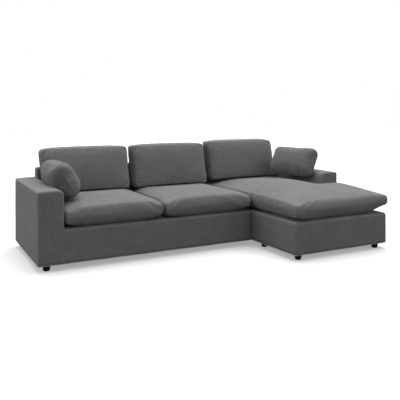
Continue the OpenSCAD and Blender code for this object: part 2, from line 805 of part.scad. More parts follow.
// Back cushions: built flat as [x, height, distance in front of the leaning plane], then stood up
back_low = [0, rear_seam, rear_seam + back_ear];
back_high = [back_cushion_t, back_cushion_t - back_seam, back_cushion_t - back_seam - back_ear];

function stand_up(p, height, top_z, rise, swell) =
  let (
    k = p.y / height,
    d = p.z * (1 - back_taper * k),
    low = seat_plane(lean_plane(0) - d) + rise + fit,
    z = ((1 - k) * low + k * (top_z - top_bow)) / (1 + (1 - k) * seat_fall * tan(lean))
  )
  [p.x - swell * k, lean_plane(z) - d, z];

function back_plan(x, height) = [
  [x[0], 0, back_low_r, 0.7],
  [x[1], 0, back_low_r, 0.7],
  [x[1], height, back_top_r, 1, -top_bow],
  [x[0], height, back_top_r, 1]
];

module back_form(x, top_z, rise, swell) {
  height = top_z - top_bow - nip_z - rise;
  mid = (x[0] + x[1]) / 2;
  rim = soft_outline(back_plan(x, height), draw_in, rim_step);
  pts = cushion_points(rim, [mid, height / 2], back_low, back_high, panel_rings, 4);
  polyhedron(
    [for (p = pts) stand_up(p, height, top_z, rise, p.x < mid ? swell * (mid - p.x) / (mid - x[0]) : 0)],
    cushion_faces(len(rim), len(panel_rings)), 4
  );
}

// The core leans with the cushion, inside its case, and is grown by g
module back_core_form(x, top_z, rise, g) {
  low = nip_z + rise + core_inset;
  high = top_z - top_bow - core_inset - core_front * sin(lean);
  translate([0, lean_plane(low), low]) rotate([-lean, 0, 0]) block(
    [x[0] + core_inset - g, -core_front - g, -g],
    [x[1] - core_inset + g, -core_rear + g, (high - low) / cos(lean) + g]
  );
}

module back_case(x, top_z, rise, swell) {
  color("dimgray") translate([-mid_x, -mid_y, 0]) difference() {
    back_form(x, top_z, rise, swell);
    back_core_form(x, top_z, rise, fit);
  }
}

module back_core(x, top_z, rise) {
  color("khaki") translate([-mid_x, -mid_y, 0]) back_core_form(x, top_z, rise, 0);
}

back_left_x = [arm_w + side_gap + 1, seam_1 + cushion_gap / 2 - back_gap];
back_middle_x = [seam_1 + cushion_gap / 2, seam_2 + cushion_gap / 2 - back_gap];
back_right_x = [seam_2 + cushion_gap / 2, total_w - arm_w - right_gap];

// Scatter cushions: two swollen panels on one seam, scaled about the middle by k for the inner pad
scatter_rings = [0.97, 0.86, 0.66, 0.36];
scatter_rim = 4;
case_step = 75;
pad_fit = 0.01;

module scatter_form(k, step) {
  w = k * scatter_w / 2;
  h = k * scatter_h / 2;
  t = k * scatter_t / 2;
  r = scatter_corner_r;
  plan = [[-w, -h, r, 0], [w, -h, r, 0], [w, h, r, 0], [-w, h, r, 0]];
  rim = soft_outline(plan, k * scatter_draw, step);
  low = [-t, -scatter_rim, -scatter_rim];
  polyhedron(
    cushion_points(rim, [0, 0], low, -low, scatter_rings, 2.8), cushion_faces(len(rim), len(scatter_rings)), 4
  );
}

// Middles of the scatter cushions, in plan coordinates
scatter_left_at = [arm_w + left_in, nip_y - left_fore, seat_crown_z + left_up];
scatter_right_at = [
  total_w - arm_w - right_in, nip_y - right_fore, seat_crown_z + chaise_crown + right_up
];

module scatter_place(at, tilt, turn) {
  translate(at - [mid_x, mid_y, 0]) rotate([0, 0, turn]) rotate([0, tilt, 0]) rotate([90, 0, 90]) children();
}

module scatter_case() {
  color("dimgray") difference() {
    scatter_form(1, case_step);
    scatter_form(pad_scale + pad_fit, 2 * case_step);
  }
}

module scatter_pad() {
  color("ivory") scatter_form(pad_scale, 2 * case_step);
}

module place_left() {
  scatter_place(scatter_left_at, -left_lean, 0) children();
}

module place_right() {
  scatter_place(scatter_right_at, right_lean, right_turn) children();
}

module sofa_long_boards() { on_sofa() long_boards(sofa_len, 0); }
module sofa_end_boards() { on_sofa() end_boards(sofa_len, 0); }
module sofa_cross_rails() { on_sofa() cross_rails(sofa_len, 0); }
module sofa_foot_blocks() { on_sofa() foot_blocks(sofa_len, 0, sofa_spots); }
module sofa_seat_belts() { on_sofa() seat_belts(sofa_len, 0); }
module sofa_deck_pad() { on_sofa() deck_pad(sofa_len, 0); }
module sofa_base_wadding() { on_sofa() base_wadding(sofa_len, 0); }
module sofa_dust_cover() { on_sofa() dust_cover(sofa_len, 0, sofa_spots); }
module sofa_back_posts() { on_sofa() back_posts(sofa_len, 3); }
module sofa_back_rails() { on_sofa() back_rails(sofa_len, 3); }
module sofa_back_belts() { on_sofa() back_belts(sofa_len); }
module sofa_back_panel() { on_sofa() back_panel(sofa_len); }
module sofa_back_foam() { on_sofa() back_foam(sofa_len); }
module left_arm_panels() { on_sofa() arm_panels(); }
module left_arm_posts() { on_sofa() arm_posts(); }
module left_arm_cap() { on_sofa() arm_cap(); }
module left_arm_foam() { on_sofa() arm_foam(); }
module sofa_cover() { on_sofa() unit_cover(sofa_len, 0); }
module sofa_feet() { on_sofa() feet(sofa_spots); }
module sofa_foot_studs() { on_sofa() foot_studs(sofa_spots); }
module sofa_insert_nuts() { on_sofa() insert_nuts(sofa_spots); }
module sofa_sockets() { on_sofa() sockets(); }
module chaise_long_boards() { on_chaise() long_boards(chaise_len, reach); }
module chaise_end_boards() { on_chaise() end_boards(chaise_len, reach); }
module chaise_cross_rails() { on_chaise() cross_rails(chaise_len, reach); }
module chaise_foot_blocks() { on_chaise() foot_blocks(chaise_len, reach, chaise_spots); }
module chaise_seat_belts() { on_chaise() seat_belts(chaise_len, reach); }
module chaise_deck_pad() { on_chaise() deck_pad(chaise_len, reach); }
module chaise_base_wadding() { on_chaise() base_wadding(chaise_len, reach); }
module chaise_dust_cover() { on_chaise() dust_cover(chaise_len, reach, chaise_spots); }
module chaise_back_posts() { on_chaise() back_posts(chaise_len, 2); }
module chaise_back_rails() { on_chaise() back_rails(chaise_len, 2); }
module chaise_back_belts() { on_chaise() back_belts(chaise_len); }
module chaise_back_panel() { on_chaise() back_panel(chaise_len); }
module chaise_back_foam() { on_chaise() back_foam(chaise_len); }
module right_arm_panels() { on_chaise() arm_panels(); }
module right_arm_posts() { on_chaise() arm_posts(); }
module right_arm_cap() { on_chaise() arm_cap(); }
module right_arm_foam() { on_chaise() arm_foam(); }
module chaise_cover() { on_chaise() unit_cover(chaise_len, reach); }
module chaise_feet() { on_chaise() feet(chaise_spots); }
module chaise_foot_studs() { on_chaise() foot_studs(chaise_spots); }
module chaise_insert_nuts() { on_chaise() insert_nuts(chaise_spots); }
module chaise_tongues() { on_sofa() tongues(); }
module seat_left_case() { seat_case(seat_left_plan); }
module seat_left_core() { seat_core(seat_left_plan); }
module seat_middle_case() { seat_case(seat_middle_plan); }
module seat_middle_core() { seat_core(seat_middle_plan); }
module chaise_cushion_case() {
  color("dimgray") translate([-mid_x, -mid_y, 0]) difference() {
    chaise_form();
    chaise_core_form(fit);
  }
}
module chaise_cushion_core() { color("khaki") translate([-mid_x, -mid_y, 0]) chaise_core_form(0); }
module back_left_case() { back_case(back_left_x, left_top_z, 0, over_arm); }
module back_left_core() { back_core(back_left_x, left_top_z, 0); }
module back_middle_case() { back_case(back_middle_x, middle_top_z, 0, 0); }
module back_middle_core() { back_core(back_middle_x, middle_top_z, 0); }
module back_right_case() { back_case(back_right_x, right_top_z, chaise_rise, 0); }
module back_right_core() { back_core(back_right_x, right_top_z, chaise_rise); }
module scatter_left_case() { place_left() scatter_case(); }
module scatter_left_pad() { place_left() scatter_pad(); }
module scatter_right_case() { place_right() scatter_case(); }
module scatter_right_pad() { place_right() scatter_pad(); }

sofa_long_boards();
sofa_end_boards();
sofa_cross_rails();
sofa_foot_blocks();
sofa_seat_belts();
sofa_deck_pad();
sofa_base_wadding();
sofa_dust_cover();
sofa_back_posts();
sofa_back_rails();
sofa_back_belts();
sofa_back_panel();
sofa_back_foam();
left_arm_panels();
left_arm_posts();
left_arm_cap();
left_arm_foam();
sofa_cover();
sofa_feet();
sofa_foot_studs();
sofa_insert_nuts();
sofa_sockets();
chaise_long_boards();
chaise_end_boards();
chaise_cross_rails();
chaise_foot_blocks();
chaise_seat_belts();
chaise_deck_pad();
chaise_base_wadding();
chaise_dust_cover();
chaise_back_posts();
chaise_back_rails();
chaise_back_belts();
chaise_back_panel();
chaise_back_foam();
right_arm_panels();
right_arm_posts();
right_arm_cap();
right_arm_foam();
chaise_cover();
chaise_feet();
chaise_foot_studs();
chaise_insert_nuts();
chaise_tongues();
seat_left_case();
seat_left_core();
seat_middle_case();
seat_middle_core();
chaise_cushion_case();
chaise_cushion_core();
back_left_case();
back_left_core();
back_middle_case();
back_middle_core();
back_right_case();
back_right_core();
scatter_left_case();
scatter_left_pad();
scatter_right_case();
scatter_right_pad();
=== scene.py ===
import json
import math

import bmesh
import bpy
import numpy as np
from mathutils import Matrix, Vector, noise
from mathutils.bvhtree import BVHTree
from mathutils.kdtree import KDTree


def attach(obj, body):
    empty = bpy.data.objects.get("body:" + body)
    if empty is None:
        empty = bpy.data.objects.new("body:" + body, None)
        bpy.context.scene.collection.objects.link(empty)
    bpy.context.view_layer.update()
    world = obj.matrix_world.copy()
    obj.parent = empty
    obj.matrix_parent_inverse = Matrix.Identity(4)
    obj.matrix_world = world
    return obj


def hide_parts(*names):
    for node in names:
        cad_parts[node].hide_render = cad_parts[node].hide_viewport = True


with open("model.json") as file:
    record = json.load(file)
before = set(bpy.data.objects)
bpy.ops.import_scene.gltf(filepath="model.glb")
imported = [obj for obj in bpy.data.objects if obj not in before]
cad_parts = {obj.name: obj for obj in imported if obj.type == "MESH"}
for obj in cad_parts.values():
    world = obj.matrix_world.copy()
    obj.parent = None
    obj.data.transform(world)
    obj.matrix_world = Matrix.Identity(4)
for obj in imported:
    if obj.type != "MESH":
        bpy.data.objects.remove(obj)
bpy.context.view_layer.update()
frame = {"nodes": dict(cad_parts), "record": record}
scene = bpy.context.scene

# Plan coordinates, in metres: x from the left arm's outer face, y from the front of the arms, z from
# the floor. The row frame's origin lies at middle in them
sofa = {
    "middle": (1.375, 0.150),
    "width": 2.73,  # over both arms
    "depth": 0.92,  # of both units behind the arms' fronts
    "chaiseReach": 0.6,  # how far the chaise runs forward of that
    "sofaLength": 1.784,  # from the left arm's outer face to the joint
    "chaiseLength": 0.944,  # from the right arm's outer face to the joint
    "underside": 0.0462,
    "deck": 0.295,
    "edgeRound": 0.018,
    "cornerRound": 0.012,
    "backTop": 0.662,
    "backLow": 0.2,
    "backThick": 0.09,
    "backLap": 0.025,  # how far the back runs into the arm
    "lean": math.radians(12),
    "nip": (0.607456, 0.466),  # y and z where the back cushions meet the seats
    "seatFall": 0.1,
}
arm = {"width": 0.185, "top": 0.577, "drop": 0.005, "outerRound": 0.012, "innerRound": 0.038,
       "endRound": 0.010}
seatRoom = {"left": 0.189, "front": -0.02, "rear": 0.822, "between": 2.36, "halfGap": 0.0015,
            "joinX": 1.785, "skew": 0.050}
tanLean = math.tan(sofa["lean"])
hair = 0.0003  # the gap that keeps two faces from touching


def leanPlane(z):  # y of the plane that the back cushions lean on
    r = sofa["edgeRound"]
    roundY = sofa["depth"] - sofa["backThick"] + r
    return roundY - (r + hair) / math.cos(sofa["lean"]) + tanLean * (z - sofa["backTop"] + r)


def seatPlane(y):  # height of the seats under the back cushions
    return sofa["nip"][1] - sofa["seatFall"] * (y - sofa["nip"][0])


def skewX(y):  # the joint between the chaise cushion and its neighbour runs off square
    return seatRoom["joinX"] - seatRoom["skew"] * np.maximum(0, y) / seatRoom["rear"]


# Small helpers for meshes
origin = np.array([*sofa["middle"], 0.0])


def toFrame(points):
    return points - origin


def readPoints(mesh):
    co = np.zeros(len(mesh.vertices) * 3)
    mesh.vertices.foreach_get("co", co)
    return co.reshape(-1, 3)


def writePoints(mesh, points):
    mesh.vertices.foreach_set("co", points.astype(np.float32).ravel())
    mesh.update()


def readNormals(mesh):
    out = np.zeros(len(mesh.vertices) * 3)
    mesh.vertices.foreach_get("normal", out)
    return out.reshape(-1, 3)


def gridCube(cuts):
    bm = bmesh.new()
    bmesh.ops.create_cube(bm, size=2.0)
    bmesh.ops.subdivide_edges(bm, edges=bm.edges[:], cuts=cuts, use_grid_fill=True)
    return bm


def linked(name, mesh):
    obj = bpy.data.objects.new(name, mesh)
    scene.collection.objects.link(obj)
    return obj


def meshObject(name, bm):
    mesh = bpy.data.meshes.new(name)
    bm.to_mesh(mesh)
    bm.free()
    return linked(name, mesh)


def bake(obj):  # its modifiers become its mesh
    bpy.context.view_layer.update()
    mesh = bpy.data.meshes.new_from_object(obj.evaluated_get(bpy.context.evaluated_depsgraph_get()))
    obj.modifiers.clear()
    old = obj.data
    obj.data = mesh
    bpy.data.meshes.remove(old)


def turnOutwards(obj):  # a mirrored mesh has its faces inside out
    bm = bmesh.new()
    bm.from_mesh(obj.data)
    bmesh.ops.recalc_face_normals(bm, faces=bm.faces[:])
    bm.to_mesh(obj.data)
    bm.free()


def remesh(obj, voxel, rounds):  # rounds is how often it is smoothed
    mod = obj.modifiers.new("remesh", "REMESH")
    mod.mode = "VOXEL"
    mod.voxel_size = voxel
    mod.adaptivity = 0
    mod.use_smooth_shade = True
    bake(obj)
    bm = bmesh.new()
    bm.from_mesh(obj.data)
    for _ in range(rounds):
        bmesh.ops.smooth_vert(bm, verts=bm.verts[:], factor=0.5, use_axis_x=True, use_axis_y=True,
                              use_axis_z=True)
    bmesh.ops.recalc_face_normals(bm, faces=bm.faces[:])
    bm.to_mesh(obj.data)
    bm.free()


def smoothShade(obj):
    obj.data.polygons.foreach_set("use_smooth", [True] * len(obj.data.polygons))


def setFloat(mesh, name, values):
    attribute = mesh.attributes.get(name) or mesh.attributes.new(name, "FLOAT", "POINT")
    attribute.data.foreach_set("value", values.astype(np.float32))


def setWearAndHighlight(mesh, size):  # how sharply the cloth turns outwards at each point, where it is painted lighter: partly rubbed wear, partly a painted highlight along the convex edges
    p, n = readPoints(mesh), readNormals(mesh)
    pairs = np.zeros(len(mesh.edges) * 2, dtype=np.int32)
    mesh.edges.foreach_get("vertices", pairs)
    pairs = pairs.reshape(-1, 2)
    total, count = np.zeros_like(p), np.zeros(len(p))
    for a, b in ((0, 1), (1, 0)):
        np.add.at(total, pairs[:, a], p[pairs[:, b]])
        np.add.at(count, pairs[:, a], 1)
    bend = -np.einsum("ij,ij->i", total / np.maximum(count, 1)[:, None] - p, n) / size
    setFloat(mesh, "wearAndHighlight", np.clip(bend * 3 - 0.15, 0, 1))


def smoothMin(a, b, soft):
    h = np.clip(0.5 + 0.5 * (b - a) / soft, 0, 1)
    return b * (1 - h) + a * h - soft * h * (1 - h)


def smoothMax(a, b, soft):
    return -smoothMin(-a, -b, soft)


# A sewn outline. A corner is (x, y, rounding, pinch), and a side is drawn in between two of them.
# A fifth number, if any, is how far the side after that corner is drawn in
def sewnOutline(corners, draw, step=0.012, fadeRun=0.15):
    def fade(s):  # a corner's pinch dies out along the side
        return max(0.0, 1 - s / fadeRun) ** 2

    points, middles = [], []
    for i, c in enumerate(corners):
        after = corners[(i + 1) % len(corners)]
        p, q, o = (Vector(k[:2]) for k in (c, after, corners[i - 1]))
        inward, onward = (p - o).normalized(), (q - p).normalized()
        a, b, e = p - c[2] * inward, p + c[2] * onward, q - after[2] * onward
        dip = c[4] if len(c) > 4 else draw
        middles.append(len(points) + 4)
        for k in range(8):
            t = k / 8
            m = (1 - t) ** 2 * a + 2 * t * (1 - t) * p + t * t * b
            points.append((m.x, m.y, 1 - c[3]))
        run = (e - b).length
        steps = max(2, round(run / step))
        for k in range(steps):
            t = k / steps
            m = b + t * (e - b) + dip * 4 * t * (1 - t) * Vector((-onward.y, onward.x))
            points.append((m.x, m.y, 1 - c[3] * fade(t * run) - after[3] * fade((1 - t) * run)))
    return np.array(points), middles


class Outline:  # anchors are the corners that the square's four corners go to
    def __init__(self, corners, draw, anchors=(0, 1, 2, 3)):
        points, middles = sewnOutline(corners, draw)
        self.corners = [np.array(c[:2]) for c in corners]
        self.closed = np.vstack([points, points[:1]])
        sides = np.linalg.norm(np.diff(self.closed[:, :2], axis=0), axis=1)
        self.length = np.concatenate([[0], np.cumsum(sides)])
        self.anchors = [self.length[middles[a]] for a in anchors]

    def at(self, length):
        s = np.mod(length, self.length[-1])
        x, y, full = (np.interp(s, self.length, column) for column in self.closed.T)
        ahead, behind = (np.mod(s + way * 0.004, self.length[-1]) for way in (1, -1))
        dx, dy = (np.interp(ahead, self.length, column) - np.interp(behind, self.length, column)
                  for column in self.closed.T[:2])
        n = np.maximum(np.hypot(dx, dy), 1e-9)
        return x, y, full, dy / n, -dx / n  # the last two point outwards

    def nearSides(self, x, y, reach):
        # 0 in the middle and 1 at the rim, with no fold running in from the corners
        p = np.stack([x, y], 1)
        total = np.zeros(len(p))
        for a, b in zip(self.corners, self.corners[1:] + self.corners[:1]):
            t = np.clip((p - a) @ (b - a) / ((b - a) @ (b - a)), 0, 1)
            away = np.linalg.norm(p - a - t[:, None] * (b - a), axis=1)
            total += np.clip(1 - away / reach, 0, 1) ** 2.5
        return np.minimum(1, total ** 0.4)

    def lengthAt(self, u, v):  # length along the outline for a point on the rim of the square
        side = np.select([(v <= -1 + 1e-6) & (u < 1), u >= 1 - 1e-6, v >= 1 - 1e-6], [0, 1, 2], 3)
        t = np.select([side == 0, side == 1, side == 2], [(u + 1) / 2, (v + 1) / 2, (1 - u) / 2], (1 - v) / 2)
        t = 0.5 - 0.5 * np.cos(np.pi * np.clip(t, 0, 1))
        a = np.array(self.anchors)
        b = np.append(a[1:], a[0] + self.length[-1])
        return a[side] + t * (b[side] - a[side])


# A closed padded form over an outline. Each face is a dictionary: its crown, its edge between the corners
# and at them, how flat it is (power), and how far its roll reaches in and down. bulge is how far the
# border swells
def rollOf(part, full, nx):
    share = part.get("cornerRoll", 0.5)
    share = (share + (1 - share) * full) * (1 + part.get("sideRoll", 0) * nx ** 2)
    return part["rollIn"] * share, part["rollDown"] * share


def paddedForm(bm, outline, mid, low, high, bulge):
    u, v, w = np.array([v.co[:] for v in bm.verts]).T
    side = np.maximum(np.abs(u), np.abs(v))
    s = np.sin(side * np.pi / 2)
    flat = np.maximum(side, 1e-9)
    x, y, full, nx, ny = outline.at(outline.lengthAt(u / flat, v / flat))
    dx, dy = x - mid[0], y - mid[1]
    full = np.clip(full, 0, 1)
    out = np.minimum(1, ((s * u / flat) ** 4 + (s * v / flat) ** 4) ** 0.25)

    def face(part, sign):
        edge = part["corner"] + (part["between"] - part["corner"]) * full
        rollIn, rollDown = rollOf(part, full, nx)
        rise = part["crown"] + (edge - part["crown"]) * out ** part["power"]
        near = np.clip(1 - (1 - s) * np.hypot(dx, dy) / np.maximum(rollIn, 1e-6), 0, 1)
        near = np.maximum(near, outline.nearSides(mid[0] + s * dx, mid[1] + s * dy, rollIn))
        drop = rollDown * (1 - np.sqrt(np.maximum(1 - near * near, 0)))
        return rise + sign * drop, edge + sign * rollDown

    topZ, topEdge = face(high, -1)
    lowZ, lowEdge = face(low, 1)
    sideZ = lowEdge + (w + 1) / 2 * (topEdge - lowEdge)
    z = np.where(w >= 1 - 1e-6, topZ, np.where(w <= -1 + 1e-6, lowZ, sideZ))
    border = np.where(np.abs(w) < 1 - 1e-6, bulge * (1 - w * w) * (0.3 + 0.7 * full), 0)
    return np.stack([mid[0] + s * dx + nx * border, mid[1] + s * dy + ny * border, z], 1)


def seamAt(outline, part, sign, length, turn=45):
    # points of a face's seam on its roll, turn degrees down it, and the way across towards the face
    x, y, full, nx, ny = outline.at(length)
    full = np.clip(full, 0, 1)
    edge = part["corner"] + (part["between"] - part["corner"]) * full
    rollIn, rollDown = rollOf(part, full, nx)
    a = math.radians(turn)
    inside = rollIn * (1 - math.sin(a))
    points = np.stack([x - nx * inside, y - ny * inside, edge - sign * rollDown * (1 - math.cos(a))], 1)
    across = np.stack([-nx * math.cos(a), -ny * math.cos(a), np.full_like(nx, sign * math.sin(a))], 1)
    return points, across


def seamOfSide(outline, low, high, start, end):
    # round one side panel: along its top, down a corner, back along its bottom and up the other corner
    along = np.arange(start, end, 0.006)
    top, topWay = seamAt(outline, high, 1, along)
    bottom, bottomWay = seamAt(outline, low, -1, along[::-1])
    down = np.linspace(0, 1, 20)[1:-1, None]
    nx, ny = outline.at(np.array([start, end]))[3:]
    tangent = np.stack([-ny, nx, 0 * nx], 1)
    downEnd = top[-1] + down * (bottom[0] - top[-1])
    upStart = bottom[-1] + down * (top[0] - bottom[-1])
    points = np.concatenate([top, downEnd, bottom, upStart])
    downWay = np.tile(tangent[1], (len(down), 1))
    upWay = np.tile(-tangent[0], (len(down), 1))
    ways = np.concatenate([topWay, downWay, bottomWay, upWay])
    steps = np.linalg.norm(np.diff(points, axis=0), axis=1)
    return points, ways, np.concatenate([[0], np.cumsum(steps)])


def setPoints(bm, points):
    for v, p in zip(bm.verts, points):
        v.co = p
    bmesh.ops.recalc_face_normals(bm, faces=bm.faces[:])


# The covers of the two units. The cloth stands proud of its pattern and sags in waves, whose numbers
# wave and ripple are per metre
cover = {"voxel": 0.009, "proud": 0.0016, "sag": 0.0012, "wave": 4.2, "ripple": 11.0, "atJoint": 0.0004}


def roundedProfile(points, rounds, steps=6):
    # a closed outline whose corners are rounded
    out = []
    for i, p in enumerate(points):
        p, o, q = Vector(p), Vector(points[i - 1]), Vector(points[(i + 1) % len(points)])
        a, b = p + (o - p).normalized() * rounds[i], p + (q - p).normalized() * rounds[i]
        if rounds[i] < 1e-6:
            out.append(p)
            continue
        for k in range(steps + 1):
            t = k / steps
            out.append((1 - t) ** 2 * a + 2 * t * (1 - t) * p + t * t * b)
    return out


def slabBetween(bm, profile, axis, start, end, edge):
    # a flat outline pulled from start to end along an axis, with round end edges
    k = "xyz".index(axis)

    def put(p, d):
        place = [p.x, p.y]
        place.insert(k, d)
        return place

    face = bm.faces.new([bm.verts.new(put(p, start)) for p in profile])
    pulled = bmesh.ops.extrude_face_region(bm, geom=[face])
    moved = [g for g in pulled["geom"] if isinstance(g, bmesh.types.BMVert)]
    bmesh.ops.translate(bm, verts=moved, vec=put(Vector((0, 0)), end - start))
    if edge:
        ends = [e for e in bm.edges if abs(e.verts[0].co[k] - e.verts[1].co[k]) < 1e-6]
        bmesh.ops.bevel(bm, geom=ends, offset=edge, offset_type="OFFSET", affect="EDGES", segments=4,
                        profile=0.5, material=-1, clamp_overlap=True)


def armProfile():
    w, outer, inner = arm["width"], arm["outerRound"], arm["innerRound"]
    crestU = 0.55 * w

    def dome(u):  # the top is a little higher in its middle
        return arm["top"] - arm["drop"] * ((u - crestU) / crestU) ** 2

    points = [(0.0, sofa["underside"])]
    for a in np.radians(np.arange(0, 91, 15)):
        u = outer * (1 - math.cos(a))
        points.append((u, dome(u) - outer * (1 - math.sin(a))))
    for k in range(1, 8):
        u = outer + k * (w - outer - inner) / 8
        points.append((u, dome(u)))
    for a in np.radians(np.arange(90, -1, -10)):
        u = w - inner * (1 - math.cos(a))
        points.append((u, dome(u) - inner * (1 - math.sin(a))))
    points.append((w, sofa["underside"]))
    return [Vector(p) for p in points]


def armSlab():
    bm = bmesh.new()
    slabBetween(bm, armProfile(), "y", 0.0, sofa["depth"], arm["endRound"])
    return bm


def baseSlab(front, length):
    bm = bmesh.new()
    low, deck, depth = sofa["underside"], sofa["deck"], sofa["depth"]
    corners = [(0, -front), (length, -front), (length, depth), (0, depth)]
    slabBetween(bm, roundedProfile(corners, [sofa["cornerRound"]] * 4), "z", low, deck, 0)
    top = [e for e in bm.edges if all(abs(v.co.z - deck) < 1e-6 for v in e.verts)]
    bmesh.ops.bevel(bm, geom=top, offset=sofa["edgeRound"], offset_type="OFFSET", affect="EDGES", segments=5,
                    profile=0.5, material=-1)
    return bm


def backSlab(length):
    bm = bmesh.new()
    r, start = sofa["edgeRound"], arm["width"] - sofa["backLap"]
    low, top, depth = sofa["backLow"], sofa["backTop"], sofa["depth"]
    profile = roundedProfile([(start, low), (length, low), (length, top), (start, top)], [0, 0, r, r])
    slabBetween(bm, profile, "y", depth - sofa["backThick"], depth, r * 0.8)
    return bm


def coverForm(name, body, node, front, length, mirrored):
    # u runs from the outer face of the arm. The chaise unit is the same, mirrored and with a longer base
    whole = bmesh.new()
    for bm in (armSlab(), baseSlab(front, length), backSlab(length)):
        bmesh.ops.recalc_face_normals(bm, faces=bm.faces[:])
        mesh = bpy.data.meshes.new("part")
        bm.to_mesh(mesh)
        bm.free()
        whole.from_mesh(mesh)
        bpy.data.meshes.remove(mesh)
    bmesh.ops.triangulate(whole, faces=whole.faces[:])
    pattern = meshObject(name + "Pattern", whole)
    obj = linked(name, pattern.data.copy())
    remesh(obj, cover["voxel"], rounds=1)
    hug = obj.modifiers.new("hug", "SHRINKWRAP")
    hug.target = pattern
    hug.wrap_method = "NEAREST_SURFACEPOINT"
    bake(obj)
    bpy.data.meshes.remove(pattern.data)
    p = readPoints(obj.data)
    n = readNormals(obj.data)
    waves = np.array([noise.noise(Vector(q * cover["wave"])) for q in p])
    ripples = np.array([noise.noise(Vector(q * cover["ripple"])) for q in p])
    sag = waves + 0.5 * ripples
    p += n * (cover["proud"] + cover["sag"] * np.maximum(sag, -0.6))[:, None]
    p[:, 0] = np.minimum(p[:, 0], length + cover["atJoint"])
    if mirrored:
        p[:, 0] = sofa["width"] - p[:, 0]
    writePoints(obj.data, toFrame(p))
    if mirrored:
        turnOutwards(obj)
    setWearAndHighlight(obj.data, cover["voxel"])
    smoothShade(obj)
    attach(obj, body)
    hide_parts(node)
    return obj


reach = sofa["chaiseReach"]
sofaCover = coverForm("sofaCover", "sofa_unit", "sofa_cover", 0.0, sofa["sofaLength"], False)
chaiseCover = coverForm("chaiseCover", "chaise_unit", "chaise_cover", reach, sofa["chaiseLength"], True)
print("covers")

# The cloth that puffs a cushion up
puff = {"frames": 18, "quality": 4, "mass": 0.3, "tension": 12, "compression": 8, "shear": 4, "bending": 0.6,
        "pressure": 4.0}


def blowUp(obj, pins, cap, extra):  # extra is how much longer the cloth is cut than its pattern
    start = readPoints(obj.data)
    group = obj.vertex_groups.new(name="sewn")
    for level in (0.35, 0.7, 1.0):
        chosen = np.nonzero(pins >= level - 1e-6)[0]
        if len(chosen):
            group.add([int(k) for k in chosen], level, "REPLACE")
    cloth = obj.modifiers.new("cloth", "CLOTH")
    rules = cloth.settings
    rules.quality = puff["quality"]
    rules.mass = puff["mass"]
    rules.tension_stiffness = puff["tension"]
    rules.compression_stiffness = puff["compression"]
    rules.shear_stiffness = puff["shear"]
    rules.bending_stiffness = puff["bending"]
    rules.shrink_min = -extra
    rules.vertex_group_mass = "sewn"
    rules.pin_stiffness = 1
    rules.use_pressure = True
    rules.uniform_pressure_force = puff["pressure"]
    rules.effector_weights.gravity = 0
    cloth.collision_settings.use_collision = False
    cloth.point_cache.frame_start = 1
    cloth.point_cache.frame_end = puff["frames"]
    for k in range(1, puff["frames"] + 1):
        scene.frame_set(k)
    swollen = obj.evaluated_get(bpy.context.evaluated_depsgraph_get()).to_mesh()
    end = readPoints(swollen)
    obj.modifiers.clear()
    obj.vertex_groups.clear()
    scene.frame_set(1)
    move = end - start
    size = np.maximum(np.linalg.norm(move, axis=1), 1e-9)
    held = cap * np.tanh(size / cap) / size  # cap is each point's own
    writePoints(obj.data, start + move * held[:, None])


# The cushions
seatHigh = {"crown": 0.490, "between": 0.440, "corner": 0.434, "power": 2.0, "rollIn": 0.050,
            "rollDown": 0.040, "cornerRoll": 0.9}
seatLow = {"crown": 0.2956, "between": 0.304, "corner": 0.316, "power": 12.0, "rollIn": 0.056,
           "rollDown": 0.040, "cornerRoll": 0.9}
cushion = {"voxel": 0.011, "draw": 0.006, "bulge": 0.008, "slim": 0.006, "seamDent": 0.0022,
           "seamWidth": 0.010, "pucker": 0.0012, "puckerRun": 0.030}
finished = {}  # the cushions by name


def nearSeams(points, seams):
    # Signed way across the nearest seam, and the run along it
    across = np.full(len(points), 0.05)
    run = np.zeros(len(points))
    best = np.full(len(points), 1e9)
    for seamPoints, way, length in seams:
        tree = KDTree(len(seamPoints))
        for k, p in enumerate(seamPoints):
            tree.insert(p, k)
        tree.balance()
        following = np.roll(seamPoints, -1, axis=0) - np.roll(seamPoints, 1, axis=0)
        following /= np.maximum(np.linalg.norm(following, axis=1), 1e-9)[:, None]
        for k, p in enumerate(points):
            _, i, dist = tree.find(p)
            if dist < best[k]:
                best[k] = dist
                d = p - seamPoints[i]
                across[k] = float(np.clip(d @ way[i], -0.05, 0.05)) if dist < 0.05 else 0.05
                run[k] = length[i] + float(d @ following[i])
    return across, run, np.where(best < 0.03, np.abs(across), best)


def solidTree(obj):  # for finding what lies inside a finished piece, in plan coordinates
    points = readPoints(obj.data) + origin
    return BVHTree.FromPolygons([tuple(p) for p in points], [tuple(f.vertices) for f in obj.data.polygons])


def keptOff(points, trees, room=2 * hair):
    out = points.copy()
    for tree in trees:
        for k, p in enumerate(out):
            near, normal, _, _ = tree.find_nearest(Vector(p), 0.07)
            if near is not None and (Vector(p) - near).dot(normal) < room:
                out[k] = near + normal * room
    return out


